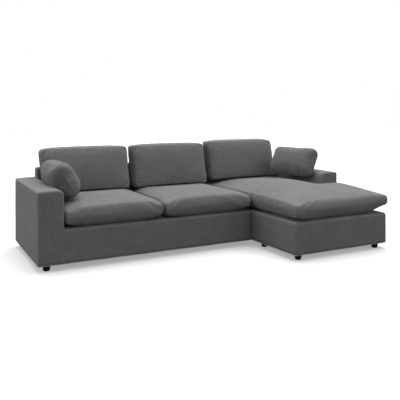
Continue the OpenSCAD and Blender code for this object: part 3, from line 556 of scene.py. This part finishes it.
def sewCushion(name, body, case, start, seams, limit, cap, pinUnder=None, shape=None,
               voxel=cushion["voxel"], smooth=3, extra=0.02):
    # cap is how far a point may swell: beside a seam, and in the middle of a panel
    obj = meshObject(name, start)
    remesh(obj, voxel, rounds=smooth)
    points = readPoints(obj.data)
    across, run, near = nearSeams(points, seams)
    pins = np.clip(1 - (near - 0.006) / 0.012, 0, 1)
    if pinUnder is not None:
        pins = np.maximum(pins, pinUnder(points))
    writePoints(obj.data, points - readNormals(obj.data) * (cushion["slim"] * (1 - pins))[:, None])
    most = cap[0] + (cap[1] - cap[0]) * np.clip(near / 0.14, 0, 1)
    blowUp(obj, pins, most, extra)
    points = readPoints(obj.data)
    if shape is not None:
        points = shape(points, readNormals(obj.data))
        writePoints(obj.data, points)
    # the thread pulls the padding in along a seam, unevenly
    normals = readNormals(obj.data)
    pucker = np.array([noise.noise(Vector((r * 28, 0.3, a * 6))) for r, a in zip(run, across)])
    dent = (cushion["seamDent"] * np.exp(-(near / cushion["seamWidth"]) ** 2)
            + cushion["pucker"] * pucker * np.exp(-near / cushion["puckerRun"]))
    points = limit(points - normals * dent[:, None])
    writePoints(obj.data, toFrame(points))
    setFloat(obj.data, "seam", across)
    setWearAndHighlight(obj.data, voxel)
    smoothShade(obj)
    fine = obj.modifiers.new("fine", "SUBSURF")
    fine.levels = fine.render_levels = 1
    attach(obj, body)
    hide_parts(case)
    finished[name] = obj


def insidePlan(corners, slack):
    # keeps points inside the four-sided plan, give or take slack on each side: front, right, rear, left
    def limit(points):
        p = points.copy()
        n = len(corners)
        for i in range(n):
            a, b = np.array(corners[i][:2]), np.array(corners[(i + 1) % n][:2])
            d = (b - a) / np.linalg.norm(b - a)
            out = np.array([d[1], -d[0]])
            over = (p[:, :2] - a) @ out
            p[:, :2] += (smoothMin(over, slack[i], 0.003) - over)[:, None] * out
        return p
    return limit


def creased(creases):
    # each crease runs from a to b with a bend between, in plan coordinates, and is depth deep and width wide
    def shape(points, normals):
        for a, b, bend, width, depth in creases:
            a, b, bend = (np.array(k, float) for k in (a, b, bend))
            best = np.full(len(points), 1e9)
            fadeAt = np.zeros(len(points))
            for t in np.linspace(0, 1, 24):
                q = a + t * (b - a) + 4 * t * (1 - t) * bend
                d = np.linalg.norm(points - q, axis=1)
                closer = d < best
                best = np.where(closer, d, best)
                fadeAt = np.where(closer, math.sin(math.pi * t) ** 0.5 if 0 < t < 1 else 0, fadeAt)
            wave = np.exp(-(best / width) ** 2) - 0.45 * np.exp(-((best - 1.9 * width) / width) ** 2)
            points = points - normals * (depth * fadeAt * wave)[:, None]
        return points
    return shape


def onDeck(p):  # the points that lie on the deck
    return (p[:, 2] < sofa["deck"] + 0.004).astype(float)


def seatCushion(name, body, case, corners, creases):
    outline = Outline(corners, cushion["draw"])
    mid = ((corners[0][0] + corners[2][0]) / 2, (corners[0][1] + corners[2][1]) / 2)
    bm = gridCube(44)
    setPoints(bm, paddedForm(bm, outline, mid, seatLow, seatHigh, cushion["bulge"]))
    a = outline.anchors
    seams = [seamOfSide(outline, seatLow, seatHigh, a[1], a[2]),
             seamOfSide(outline, seatLow, seatHigh, a[3], a[0] + outline.length[-1])]
    sides = insidePlan(corners, (0.010, -hair, 0.0, -hair))

    def limit(points):
        p = sides(points)
        p[:, 2] = np.minimum(p[:, 2], smoothMin(p[:, 2], seatPlane(p[:, 1]), 0.006))
        p[:, 2] = np.maximum(p[:, 2], sofa["deck"] + 2 * hair)
        return p

    sewCushion(name, body, case, bm, seams, limit, cap=(0.004, 0.010), pinUnder=onDeck,
               shape=creased(creases), smooth=5)


gap = seatRoom["halfGap"]
seamX = arm["width"] + seatRoom["between"] / 3
leftX, frontY, rearY = seatRoom["left"], seatRoom["front"], seatRoom["rear"]
seatLeftCorners = [(leftX, frontY, 0.042, 0.9), (seamX - gap, frontY, 0.042, 0.9),
                   (seamX - gap, rearY, 0.03, 0.5), (leftX, rearY, 0.03, 0.5)]
seatMiddleCorners = [(seamX + gap, frontY, 0.042, 0.9), (skewX(frontY) - gap, frontY, 0.042, 0.9),
                     (skewX(rearY) - gap, rearY, 0.03, 0.5), (seamX + gap, rearY, 0.03, 0.5)]
seatCushion("seatLeftCushion", "seat_left", "seat_left_case", seatLeftCorners, [
    ((0.74, -0.02, 0.352), (0.955, -0.02, 0.345), (0, 0, 0.006), 0.008, 0.0018),
    ((0.86, -0.02, 0.385), (0.965, -0.015, 0.400), (0, 0, 0.003), 0.008, 0.0018),
    ((0.45, -0.02, 0.345), (0.72, -0.02, 0.35), (0, 0, -0.008), 0.012, 0.0012),
])
seatCushion("seatMiddleCushion", "seat_middle", "seat_middle_case", seatMiddleCorners, [
    ((1.15, -0.02, 0.405), (1.70, -0.02, 0.415), (0, 0, -0.010), 0.010, 0.0022),
    ((1.30, -0.02, 0.375), (1.76, -0.02, 0.395), (0, 0, -0.008), 0.009, 0.0020),
    ((1.45, -0.02, 0.345), (1.77, -0.015, 0.365), (0, 0, -0.006), 0.009, 0.0018),
])
print("seat cushions")

chaise = {"right": 2.75, "armX": 2.541, "armY": -0.008, "middle": (2.1575, -0.3), "rise": 0.024,
          "height": 0.193, "curl": 0.040, "curlRun": 0.27, "crownRise": 0.044, "crownX": (1.76, 0.32),
          "farRise": 0.026, "farRun": 0.28, "farX": (2.42, 0.25), "frontSlack": 0.009, "sideSlack": 0.002,
          "leftDraw": 0.0065}  # crownX and farX: where a rise starts, and its run
chaiseCorners = [(1.793, frontY - reach, 0.055, 0.9), (chaise["right"], frontY - reach, 0.042, 0.9),
                 (chaise["right"], chaise["armY"], 0.042, 0.6), (chaise["armX"], chaise["armY"], 0.024, 0.0),
                 (chaise["armX"], rearY, 0.03, 0.5), (skewX(rearY) + gap, rearY, 0.03, 0.5),
                 (seatRoom["joinX"] + gap, 0.0, 0.06, 0.0)]
chaiseHigh = {"crown": 0.486, "between": 0.433, "corner": 0.430, "power": 1.5, "rollIn": 0.038,
              "rollDown": 0.032, "cornerRoll": 0.9}
chaiseLow = {"crown": 0.2956, "between": 0.314, "corner": 0.320, "power": 12.0, "rollIn": 0.078,
             "rollDown": 0.042, "cornerRoll": 0.6}


def chaiseLift(p):
    # the far front corner thins out to a tip that curls up, and the crown rises towards the arm
    fromFront = p[:, 1] - frontY + reach
    a = np.clip(1 - (chaise["right"] - p[:, 0]) / chaise["curlRun"], 0, 1)
    b = np.clip(1 - fromFront / chaise["curlRun"], 0, 1)
    up = np.clip((p[:, 2] - sofa["deck"]) / chaise["height"], 0, 1)
    inner = np.clip((p[:, 0] - chaise["crownX"][0]) / chaise["crownX"][1], 0, 1)
    swell = 0.4 + 0.6 * inner * inner * (3 - 2 * inner)
    hill = chaise["crownRise"] * up * np.clip(fromFront / reach, 0, 1) * swell
    outer = np.clip((p[:, 0] - chaise["farX"][0]) / chaise["farX"][1], 0, 1)
    far = chaise["farRise"] * up * np.clip(fromFront / chaise["farRun"], 0, 1) * outer
    q = p.copy()
    q[:, 2] += chaise["curl"] * a * b * (1 - up) ** 0.7 + hill + far
    return q


def chaiseLimit(points):
    p = points.copy()
    p[:, 1] = smoothMax(p[:, 1], frontY - (reach + chaise["frontSlack"]), 0.004)
    p[:, 0] = smoothMin(p[:, 0], chaise["right"] + chaise["sideSlack"], 0.004)
    # round the arm
    behind = p[:, 1] > chaise["armY"]
    p[:, 0] = np.where(behind, smoothMin(p[:, 0], chaise["armX"] - hair, 0.003), p[:, 0])
    besideArm = (p[:, 0] > chaise["armX"]) & behind
    p[:, 1] = np.where(besideArm, np.minimum(p[:, 1], chaise["armY"]), p[:, 1])
    drawn = seatRoom["joinX"] + gap + chaise["leftDraw"] * np.clip(-p[:, 1] / reach, 0, 1)
    p[:, 0] = smoothMax(p[:, 0], np.where(p[:, 1] < 0, drawn, skewX(p[:, 1]) + gap), 0.003)
    p[:, 1] = np.minimum(p[:, 1], rearY)
    p[:, 2] = np.minimum(p[:, 2], smoothMin(p[:, 2], seatPlane(p[:, 1]) + chaise["rise"], 0.008))
    p[:, 2] = np.maximum(p[:, 2], sofa["deck"] + 2 * hair)
    return p


def chaiseCushion(name, body, case, creases):
    outline = Outline(chaiseCorners, cushion["draw"], anchors=(0, 1, 4, 5))
    bm = gridCube(60)
    flat = paddedForm(bm, outline, chaise["middle"], chaiseLow, chaiseHigh, cushion["bulge"])
    setPoints(bm, chaiseLift(flat))
    a = outline.anchors
    seams = []
    for start, end in ((a[1], a[2]), (a[3], a[0] + outline.length[-1])):
        p, way, length = seamOfSide(outline, chaiseLow, chaiseHigh, start, end)
        seams.append((chaiseLift(p), way, length))
    sewCushion(name, body, case, bm, seams, chaiseLimit, cap=(0.004, 0.010), pinUnder=onDeck,
               shape=creased(creases))


chaiseCushion("chaiseCushion", "chaise_cushion", "chaise_cushion_case", [
    ((1.83, -0.62, 0.345), (2.10, -0.62, 0.350), (0, 0, 0.004), 0.008, 0.0022),
    ((1.82, -0.62, 0.375), (2.22, -0.62, 0.385), (0, 0, 0.006), 0.009, 0.0024),
    ((1.82, -0.62, 0.405), (2.05, -0.62, 0.415), (0, 0, 0.004), 0.009, 0.0020),
    ((1.79, -0.30, 0.36), (1.80, -0.58, 0.37), (0, 0, 0.004), 0.010, 0.0022),
    ((2.50, -0.62, 0.37), (2.73, -0.62, 0.39), (0, 0, 0.006), 0.010, 0.0022),
])

# The foam inside the three seat cushions, cut into cells so that its skin can follow the cloth
foam = {"inset": 0.022, "cell": 0.03, "skin": 0.009}


def foamCore(name, body, node, outline, cushionName):
    bm = bmesh.new()
    profile = [Vector(p) for p in outline]
    slabBetween(bm, profile, "z", sofa["deck"] + foam["inset"], seatPlane(rearY) - foam["inset"], 0)
    bmesh.ops.recalc_face_normals(bm, faces=bm.faces[:])
    for normal, low, high in (((1, 0, 0), 0.2, 2.74), ((0, 1, 0), -0.6, 0.82), ((0, 0, 1), 0.32, 0.42)):
        for at in np.arange(low, high, foam["cell"]):
            everything = bm.verts[:] + bm.edges[:] + bm.faces[:]
            bmesh.ops.bisect_plane(bm, geom=everything, plane_co=[k * at for k in normal], plane_no=normal)
    tree = solidTree(finished[cushionName])
    for v in bm.verts:  # its skin stays clear of the cloth
        near, normal, _, _ = tree.find_nearest(v.co)
        if (v.co - near).dot(normal) > -foam["skin"]:
            v.co = near - normal * foam["skin"]
    bmesh.ops.translate(bm, verts=bm.verts[:], vec=tuple(-origin))
    obj = meshObject(name, bm)
    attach(obj, body)
    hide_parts(node)
    return obj


def seatFoam(corners):
    (left, front), (right, rear) = corners[0][:2], corners[2][:2]
    d = foam["inset"]
    return [(left + d, front + d), (right - d, front + d), (right - d, rear - d), (left + d, rear - d)]


leftFoam, middleFoam = seatFoam(seatLeftCorners), seatFoam(seatMiddleCorners)
foamRear = rearY - foam["inset"]
chaiseFoam = [(1.815, -0.598), (2.728, -0.598), (2.728, -0.03), (2.519, -0.03), (2.519, foamRear),
              (1.815, foamRear)]
foams = [
    foamCore("seatLeftFoam", "seat_left", "seat_left_core", leftFoam, "seatLeftCushion"),
    foamCore("seatMiddleFoam", "seat_middle", "seat_middle_core", middleFoam, "seatMiddleCushion"),
    foamCore("chaiseFoam", "chaise_cushion", "chaise_cushion_core", chaiseFoam, "chaiseCushion"),
]
print("chaise cushion and foam")

back = {"thick": 0.184, "taper": 0.11, "bow": 0.004, "gap": 0.028, "lowRound": 0.032, "offSeat": 0.0004}
backRear = {"crown": 0.0, "between": 0.003, "corner": 0.022, "power": 5.0, "rollIn": 0.016,
            "rollDown": 0.014}
backFront = {"crown": back["thick"] - 0.002, "between": back["thick"] - 0.010,
             "corner": back["thick"] - 0.022, "power": 4.0, "rollIn": 0.044, "rollDown": 0.030,
             "cornerRoll": 0.8, "sideRoll": 0.8}


def standUp(p, height, topZ, rise, swell):
    # a form made lying on its rear stands up and leans on the back
    k = p[:, 1] / height
    d = p[:, 2] * (1 - back["taper"] * k)
    low = seatPlane(leanPlane(0) - d) + rise + hair
    z = ((1 - k) * low + k * (topZ - back["bow"])) / (1 + (1 - k) * sofa["seatFall"] * tanLean)
    return np.stack([p[:, 0] - swell * k, leanPlane(z) - d, z], 1)


def backCushion(name, body, case, x, topZ, rise, overArm, topRound, right):
    # rise is how far what it stands on lies above the seats, overArm how far it swells over the left arm,
    # topRound the rounding of its two top corners, and right how far it may swell to the right
    height = topZ - back["bow"] - sofa["nip"][1] - rise
    mid = ((x[0] + x[1]) / 2, height / 2)
    corners = [(x[0], 0, back["lowRound"], 0.7), (x[1], 0, back["lowRound"], 0.7),
               (x[1], height, topRound[1], 1, -back["bow"]), (x[0], height, topRound[0], 1)]
    outline = Outline(corners, cushion["draw"])

    def stand(p):
        share = np.clip((mid[0] - p[:, 0]) / (mid[0] - x[0]), 0, 1)
        return standUp(p, height, topZ, rise, overArm * share)

    bm = gridCube(40)
    setPoints(bm, stand(paddedForm(bm, outline, mid, backRear, backFront, 0.006)))
    seams = []
    length = np.arange(0, outline.length[-1], 0.006)
    for part, sign in ((backFront, 1), (backRear, -1)):
        p, way = seamAt(outline, part, sign, length, turn=62)
        stood = stand(p)
        turned = stand(p + way * 0.01) - stood
        seams.append((stood, turned / np.linalg.norm(turned, axis=1)[:, None], length))

    def limit(points):
        p = points.copy()
        p[:, 0] = smoothMax(p[:, 0], x[0] - overArm - 0.001, 0.003)
        armSide = (p[:, 2] < arm["top"] + 0.004) & (overArm > 0)
        p[:, 0] = np.where(armSide, np.maximum(p[:, 0], x[0] - 0.001), p[:, 0])
        p[:, 0] = smoothMin(p[:, 0], x[1] + right, 0.003)
        p[:, 1] = np.minimum(p[:, 1], leanPlane(p[:, 2]))
        p[:, 2] = np.maximum(p[:, 2], seatPlane(p[:, 1]) + rise + back["offSeat"])
        return p

    def leaning(p):  # the points that lie on the back or on the seat
        rear = p[:, 1] > leanPlane(p[:, 2]) - 0.003
        low = p[:, 2] < seatPlane(p[:, 1]) + rise + 0.004
        return (rear | low).astype(float)

    sewCushion(name, body, case, bm, seams, limit, cap=(0.002, 0.015), pinUnder=leaning, extra=0.015)


chaiseSeamX = float(skewX(np.array(sofa["nip"][0])))
leftSpan = (0.19, seamX + gap - back["gap"])
middleSpan = (seamX + gap, chaiseSeamX + gap - back["gap"])
rightSpan = (chaiseSeamX + gap, 2.512)
backCushion("backLeftCushion", "back_left", "back_left_case", leftSpan, topZ=0.832, rise=0.0,
            overArm=0.028, topRound=(0.052, 0.022), right=0.017)
backCushion("backMiddleCushion", "back_middle", "back_middle_case", middleSpan, topZ=0.836, rise=0.0,
            overArm=0.0, topRound=(0.028, 0.022), right=0.017)
backCushion("backRightCushion", "back_right", "back_right_case", rightSpan, topZ=0.852,
            rise=chaise["rise"], overArm=0.0, topRound=(0.028, 0.048), right=0.004)
print("back cushions")

scatter = {"width": 0.475, "height": 0.304, "lowCut": 0.014, "corner": 0.044, "dent": 0.012, "dentRun": 0.014,
           "voxel": 0.008}
scatterFront = {"crown": 0.103, "between": 0.072, "corner": 0.058, "power": 3.0, "rollIn": 0.075,
                "rollDown": 0.052, "cornerRoll": 0.85}
scatterRear = {k: (-x if k in ("crown", "between", "corner") else x) for k, x in scatterFront.items()}


def scatterCushion(name, body, case, at, tilt, turn, neighbours):
    w, h, r = scatter["width"] / 2, scatter["height"] / 2, scatter["corner"]
    low = scatter["lowCut"] - h
    outline = Outline([(-w, low, r, 1), (w, low, r, 1), (w, h, r, 1), (-w, h, r, 1)], cushion["draw"])
    place = (Matrix.Translation(at) @ Matrix.Rotation(turn, 4, "Z") @ Matrix.Rotation(tilt, 4, "Y")
             @ Matrix.Rotation(math.pi / 2, 4, "Z") @ Matrix.Rotation(math.pi / 2, 4, "X"))
    turned = np.array(place)

    def stand(p):
        return p @ turned[:3, :3].T + turned[:3, 3]

    bm = gridCube(34)
    flat = paddedForm(bm, outline, (0, 0), scatterRear, scatterFront, 0.012)
    # the seam lies in a dent between the two panels, deepest at the corners
    onRim = np.maximum(np.abs([v.co.x for v in bm.verts]), np.abs([v.co.y for v in bm.verts])) > 1 - 1e-6
    deep = np.where(onRim, scatter["dent"] * np.exp(-(flat[:, 2] / scatter["dentRun"]) ** 2), 0)
    corner = np.clip(1 - np.hypot(w - np.abs(flat[:, 0]), h - np.abs(flat[:, 1])) / 0.12, 0, 1)
    outwards = flat[:, :2] / np.linalg.norm(flat[:, :2] + 1e-9, axis=1)[:, None]
    flat[:, :2] -= outwards * (deep * (0.4 + corner))[:, None]
    setPoints(bm, stand(flat))
    length = np.arange(0, outline.length[-1], 0.006)
    x, y = outline.at(length)[:2]
    p = np.stack([x, y, np.zeros_like(x)], 1)
    way = np.tile([0.0, 0.0, 1.0], (len(p), 1)) @ turned[:3, :3].T
    seams = [(stand(p), way, length)]
    trees = [solidTree(n) for n in neighbours]
    sewCushion(name, body, case, bm, seams, lambda q: keptOff(q, trees), cap=(0.002, 0.012),
               voxel=scatter["voxel"], extra=0.03)


scatterCushion("scatterLeftCushion", "scatter_left", "scatter_left_case", (0.251, 0.383956, 0.612),
               math.radians(-32), 0.0, [sofaCover, finished["seatLeftCushion"], finished["backLeftCushion"]])
scatterCushion("scatterRightCushion", "scatter_right", "scatter_right_case", (2.483, 0.337956, 0.6508),
               math.radians(28), math.radians(18),
               [chaiseCover, finished["chaiseCushion"], finished["backRightCushion"]])
print("scatter cushions")

# Finishes
def newMaterial(name):
    mat = bpy.data.materials.new(name)
    mat.use_nodes = True
    return mat, mat.node_tree, mat.node_tree.nodes["Principled BSDF"]


def addNode(tree, kind, **values):
    node = tree.nodes.new(kind)
    inputs = values.pop("inputs", {})
    for key, value in values.items():
        setattr(node, key, value)
    for key, value in inputs.items():
        if isinstance(value, bpy.types.NodeSocket):
            tree.links.new(value, node.inputs[key])
        else:
            node.inputs[key].default_value = value
    return node


def mathNode(tree, operation, a, b=0.0, c=0.0):
    return addNode(tree, "ShaderNodeMath", operation=operation, inputs={0: a, 1: b, 2: c}).outputs[0]


def noiseNode(tree, coords, scale, detail, rough=0.5):
    return addNode(tree, "ShaderNodeTexNoise", inputs={
        "Vector": coords, "Scale": scale, "Detail": detail, "Roughness": rough}).outputs[0]


def spread(tree, value, low, high, least, most, kind="LINEAR"):  # low to high becomes least to most
    return addNode(tree, "ShaderNodeMapRange", interpolation_type=kind, inputs={
        0: value, 1: low, 2: high, 3: least, 4: most}).outputs[0]


def scaled(tree, colour, light):
    return addNode(tree, "ShaderNodeVectorMath", operation="SCALE", inputs={
        0: colour, "Scale": light}).outputs[0]


def bump(tree, height, strength, distance, below=None):  # below is the bump that this one lies on
    node = addNode(tree, "ShaderNodeBump", inputs={
        "Height": height, "Strength": strength, "Distance": distance})
    if below:
        tree.links.new(below, node.inputs["Normal"])
    return node.outputs[0]


# Linen-like upholstery. Slubs are the thick places of its threads. Lengths are in metres, and slubs,
# patches and folds are counted per metre
# the tone of the edges lightens the convex edges: partly rubbed wear, partly painted highlight
weave = {"slubAlong": 12, "slubAcross": 150, "slubTone": (0.80, 1.20), "patches": 5.0,
         "patchTone": (0.94, 1.06), "wearAndHighlightTone": 0.16, "folds": 9.0, "foldDepth": 0.006, "pitch": 0.0034,
         # the groove tone paints shade into the seam grooves
         "threadDepth": 0.0006, "grooveAndShade": (0.0006, 0.0030), "grooveShadeTone": 0.5, "grooveDepth": 0.0015,
         "roughness": 0.92, "specular": 0.15, "sheen": 0.12, "sheenRoughness": 0.5}


def slubNodes(tree, coords):  # slubs run along each axis
    along, across = weave["slubAlong"], weave["slubAcross"]
    threads = []
    for stretch in ((along, across, across), (across, along, across), (across, across, along)):
        at = addNode(tree, "ShaderNodeVectorMath", operation="MULTIPLY", inputs={0: coords, 1: stretch})
        threads.append(noiseNode(tree, at.outputs[0], 1.0, 3.0, 0.6))
    total = mathNode(tree, "ADD", mathNode(tree, "ADD", threads[0], threads[1]), threads[2])
    return spread(tree, total, 1.1, 1.9, *weave["slubTone"])


def shadedGrooveNodes(tree, apart, lines):  # 1 away from the seams, and less in their grooves, where shade is painted into the colour; the same mask dents the grooves
    if lines:
        ways = [mathNode(tree, "SUBTRACT", apart["XYZ".index(axis)], place) for axis, place in lines]
    else:
        ways = [addNode(tree, "ShaderNodeAttribute", attribute_name="seam").outputs["Fac"]]
    far = mathNode(tree, "ABSOLUTE", ways[0])
    for way in ways[1:]:
        far = mathNode(tree, "MINIMUM", far, mathNode(tree, "ABSOLUTE", way))
    return spread(tree, far, *weave["grooveAndShade"], weave["grooveShadeTone"], 1.0, "SMOOTHSTEP")


def threadWave(tree, a, b):  # threads lie slantwise between two axes
    turns = mathNode(tree, "MULTIPLY", mathNode(tree, "ADD", a, b), 2 * math.pi / weave["pitch"])
    return mathNode(tree, "SINE", turns)


def fabric(name, tone, lines=()):
    # lines are the seams of a cover, each the axis that it is square to and its place; without lines the
    # seams are where the mesh's own attribute says
    mat, tree, shader = newMaterial(name)
    coords = addNode(tree, "ShaderNodeTexCoord").outputs["Object"]
    apart = addNode(tree, "ShaderNodeSeparateXYZ", inputs={0: coords}).outputs
    slubs = slubNodes(tree, coords)
    patches = noiseNode(tree, coords, weave["patches"], 3.0)
    light = mathNode(tree, "MULTIPLY", spread(tree, patches, 0.3, 0.7, *weave["patchTone"]), slubs)
    wearAndHighlight = addNode(tree, "ShaderNodeAttribute", attribute_name="wearAndHighlight").outputs["Fac"]
    # the convex edges are painted lighter: partly rubbed wear, partly painted highlight
    light = mathNode(tree, "MULTIPLY", light, mathNode(tree, "MULTIPLY_ADD", wearAndHighlight, weave["wearAndHighlightTone"], 1.0))
    grooveAndShade = shadedGrooveNodes(tree, apart, lines)
    # the seam grooves are painted darker as shade
    light = mathNode(tree, "MULTIPLY", light, grooveAndShade)
    tree.links.new(scaled(tree, tone, light), shader.inputs["Base Color"])
    folds = bump(tree, noiseNode(tree, coords, weave["folds"], 2.0), 0.5, weave["foldDepth"])
    over, under = (threadWave(tree, apart[k], apart[1]) for k in (0, 2))
    threads = mathNode(tree, "MULTIPLY_ADD", mathNode(tree, "MULTIPLY", over, under), 0.5, slubs)
    woven = bump(tree, threads, 0.4, weave["threadDepth"], folds)
    sewn = bump(tree, grooveAndShade, 0.7, weave["grooveDepth"], woven)
    tree.links.new(sewn, shader.inputs["Normal"])
    shader.inputs["Roughness"].default_value = weave["roughness"]
    shader.inputs["Specular IOR Level"].default_value = weave["specular"]
    shader.inputs["Sheen Weight"].default_value = weave["sheen"]
    shader.inputs["Sheen Roughness"].default_value = weave["sheenRoughness"]
    return mat


# the scatter cushions are the same cloth; the scatter factor darkens their colour as painted shade
grey = {"tone": (0.205, 0.205, 0.21), "scatter": 0.88, "hem": 0.016, "frontSeam": 0.012}
sewnFabric = fabric("greyWeave", grey["tone"])
# a darker copy of the same cloth, the darkening being painted shade
shadedScatterFabric = fabric("greyWeaveScatterShaded", tuple(grey["scatter"] * c for c in grey["tone"]))
hem = ("Z", sofa["underside"] + grey["hem"])
sofaSeam = ("Y", grey["frontSeam"] - sofa["middle"][1])
chaiseSeam = ("Y", grey["frontSeam"] - reach - sofa["middle"][1])


def wear(obj, mat):
    if obj.data.materials:  # a CAD node keeps its mesh as it is
        for slot in obj.material_slots:
            slot.link = "OBJECT"
            slot.material = mat
    else:
        obj.data.materials.append(mat)


for name, obj in finished.items():
    wear(obj, shadedScatterFabric if name.startswith("scatter") else sewnFabric)
# the grooves of the hem and the front seam on the covers are painted darker as shade
wear(sofaCover, fabric("greyWeaveSofa", grey["tone"], [hem, sofaSeam]))
wear(chaiseCover, fabric("greyWeaveChaise", grey["tone"], [hem, chaiseSeam]))


def plainMaterial(name, colour, rough, metal=0.0, scale=60.0, depth=0.0004):
    mat, tree, shader = newMaterial(name)
    coords = addNode(tree, "ShaderNodeTexCoord").outputs["Object"]
    grain = noiseNode(tree, coords, scale, 4.0)
    light = spread(tree, grain, 0.3, 0.7, 0.85, 1.12)
    tree.links.new(scaled(tree, colour, light), shader.inputs["Base Color"])
    tree.links.new(bump(tree, grain, 0.4, depth), shader.inputs["Normal"])
    shader.inputs["Roughness"].default_value = rough
    shader.inputs["Metallic"].default_value = metal
    return mat


slots = {
    "lining": plainMaterial("dustCloth", (0.02, 0.02, 0.021), 0.95, scale=300),
    "foam": plainMaterial("openFoam", (0.72, 0.66, 0.46), 0.95, scale=500, depth=0.001),
    "wadding": plainMaterial("fibreWadding", (0.82, 0.82, 0.8), 1.0, scale=90, depth=0.003),
    "webbing": plainMaterial("elasticBelt", (0.10, 0.075, 0.055), 0.85, scale=400),
    "softwood": plainMaterial("pineWood", (0.58, 0.40, 0.22), 0.65, scale=20),
    "plywood": plainMaterial("plyBoard", (0.62, 0.46, 0.28), 0.6, scale=25),
    "hardboard": plainMaterial("hardBoard", (0.20, 0.11, 0.06), 0.5, scale=200),
    "foot_plastic": plainMaterial("blackFeet", (0.012, 0.012, 0.013), 0.4, scale=200),
    "steel": plainMaterial("zincSteel", (0.55, 0.55, 0.56), 0.35, metal=1.0, scale=120),
}
for obj in foams:
    wear(obj, slots["foam"])
for part in frame["record"]["subparts"]:
    if part["material_slot"] in slots:
        wear(frame["nodes"][part["node"]], slots[part["material_slot"]])
print("finishes")

# Camera, light and floor
# focal is in pixels of the photo, imageWidth of them across
view = {"place": (-2.187219, -4.124706, 1.155268), "turn": -27.839828, "focal": 554.55062, "shiftY": -0.2257,
        "imageWidth": 400, "sensor": 36}
camera = bpy.data.cameras.new("viewCamera")
cameraObject = bpy.data.objects.new("viewCamera", camera)
scene.collection.objects.link(cameraObject)
cameraObject.location = view["place"]
cameraObject.rotation_euler = (math.pi / 2, 0, math.radians(view["turn"]))
camera.sensor_width = view["sensor"]
camera.lens = view["focal"] * view["sensor"] / view["imageWidth"]
camera.shift_y = view["shiftY"]
camera.clip_end = 100
scene.camera = cameraObject

# Lights by name: where each comes from, its strength and how wide it is in degrees
lamps = {"topLight": ((0.22, 0.30, 1.0), 2.58, 60), "leftLight": ((-1.0, 0.35, 0.35), 0.95, 50),
         "frontLight": ((0.5, -1.0, 0.9), 0.55, 60)}
studio = {"sky": (0.97, 0.985, 1.0, 1), "ambient": 0.26, "floorSize": 14, "floorTone": 0.14,
          "seenTone": 0.8, "floorGlow": 0.34}
world = bpy.data.worlds.new("studio")
scene.world = world
world.use_nodes = True
tree = world.node_tree
tree.nodes.clear()
ray = addNode(tree, "ShaderNodeLightPath")
seen = mathNode(tree, "MAXIMUM", ray.outputs["Is Camera Ray"], ray.outputs["Is Glossy Ray"])
seen = mathNode(tree, "MAXIMUM", seen, ray.outputs["Is Transmission Ray"])
dim = addNode(tree, "ShaderNodeBackground", inputs={0: studio["sky"], 1: studio["ambient"]}).outputs[0]
white = addNode(tree, "ShaderNodeBackground", inputs={0: (1, 1, 1, 1), 1: 1.0}).outputs[0]
mixed = addNode(tree, "ShaderNodeMixShader", inputs={0: seen, 1: dim, 2: white}).outputs[0]
tree.links.new(mixed, addNode(tree, "ShaderNodeOutputWorld").inputs[0])


def farLight(name, comesFrom, strength, angle):  # a wide soft light, alike over the whole floor
    lamp = bpy.data.lights.new(name, "SUN")
    lamp.energy = strength
    lamp.angle = math.radians(angle)
    obj = bpy.data.objects.new(name, lamp)
    scene.collection.objects.link(obj)
    obj.rotation_euler = Vector(comesFrom).to_track_quat("Z", "Y").to_euler()


for name, (comesFrom, strength, angle) in lamps.items():
    farLight(name, comesFrom, strength, angle)

bm = bmesh.new()
bmesh.ops.create_grid(bm, x_segments=1, y_segments=1, size=studio["floorSize"])
floor = meshObject("floor", bm)
mat, tree, shader = newMaterial("paleFloor")
tree.nodes.remove(shader)
seen = addNode(tree, "ShaderNodeLightPath").outputs["Is Camera Ray"]
matt = addNode(tree, "ShaderNodeBsdfDiffuse", inputs={0: (studio["floorTone"],) * 3 + (1,)}).outputs[0]
pale = addNode(tree, "ShaderNodeBsdfDiffuse", inputs={0: (studio["seenTone"],) * 3 + (1,)}).outputs[0]
glow = addNode(tree, "ShaderNodeEmission", inputs={0: (1, 1, 1, 1), 1: studio["floorGlow"]}).outputs[0]
both = addNode(tree, "ShaderNodeAddShader", inputs={0: pale, 1: glow}).outputs[0]
mixed = addNode(tree, "ShaderNodeMixShader", inputs={0: seen, 1: matt, 2: both}).outputs[0]
tree.links.new(mixed, tree.nodes["Material Output"].inputs[0])
floor.data.materials.append(mat)

scene.view_settings.view_transform = "Standard"
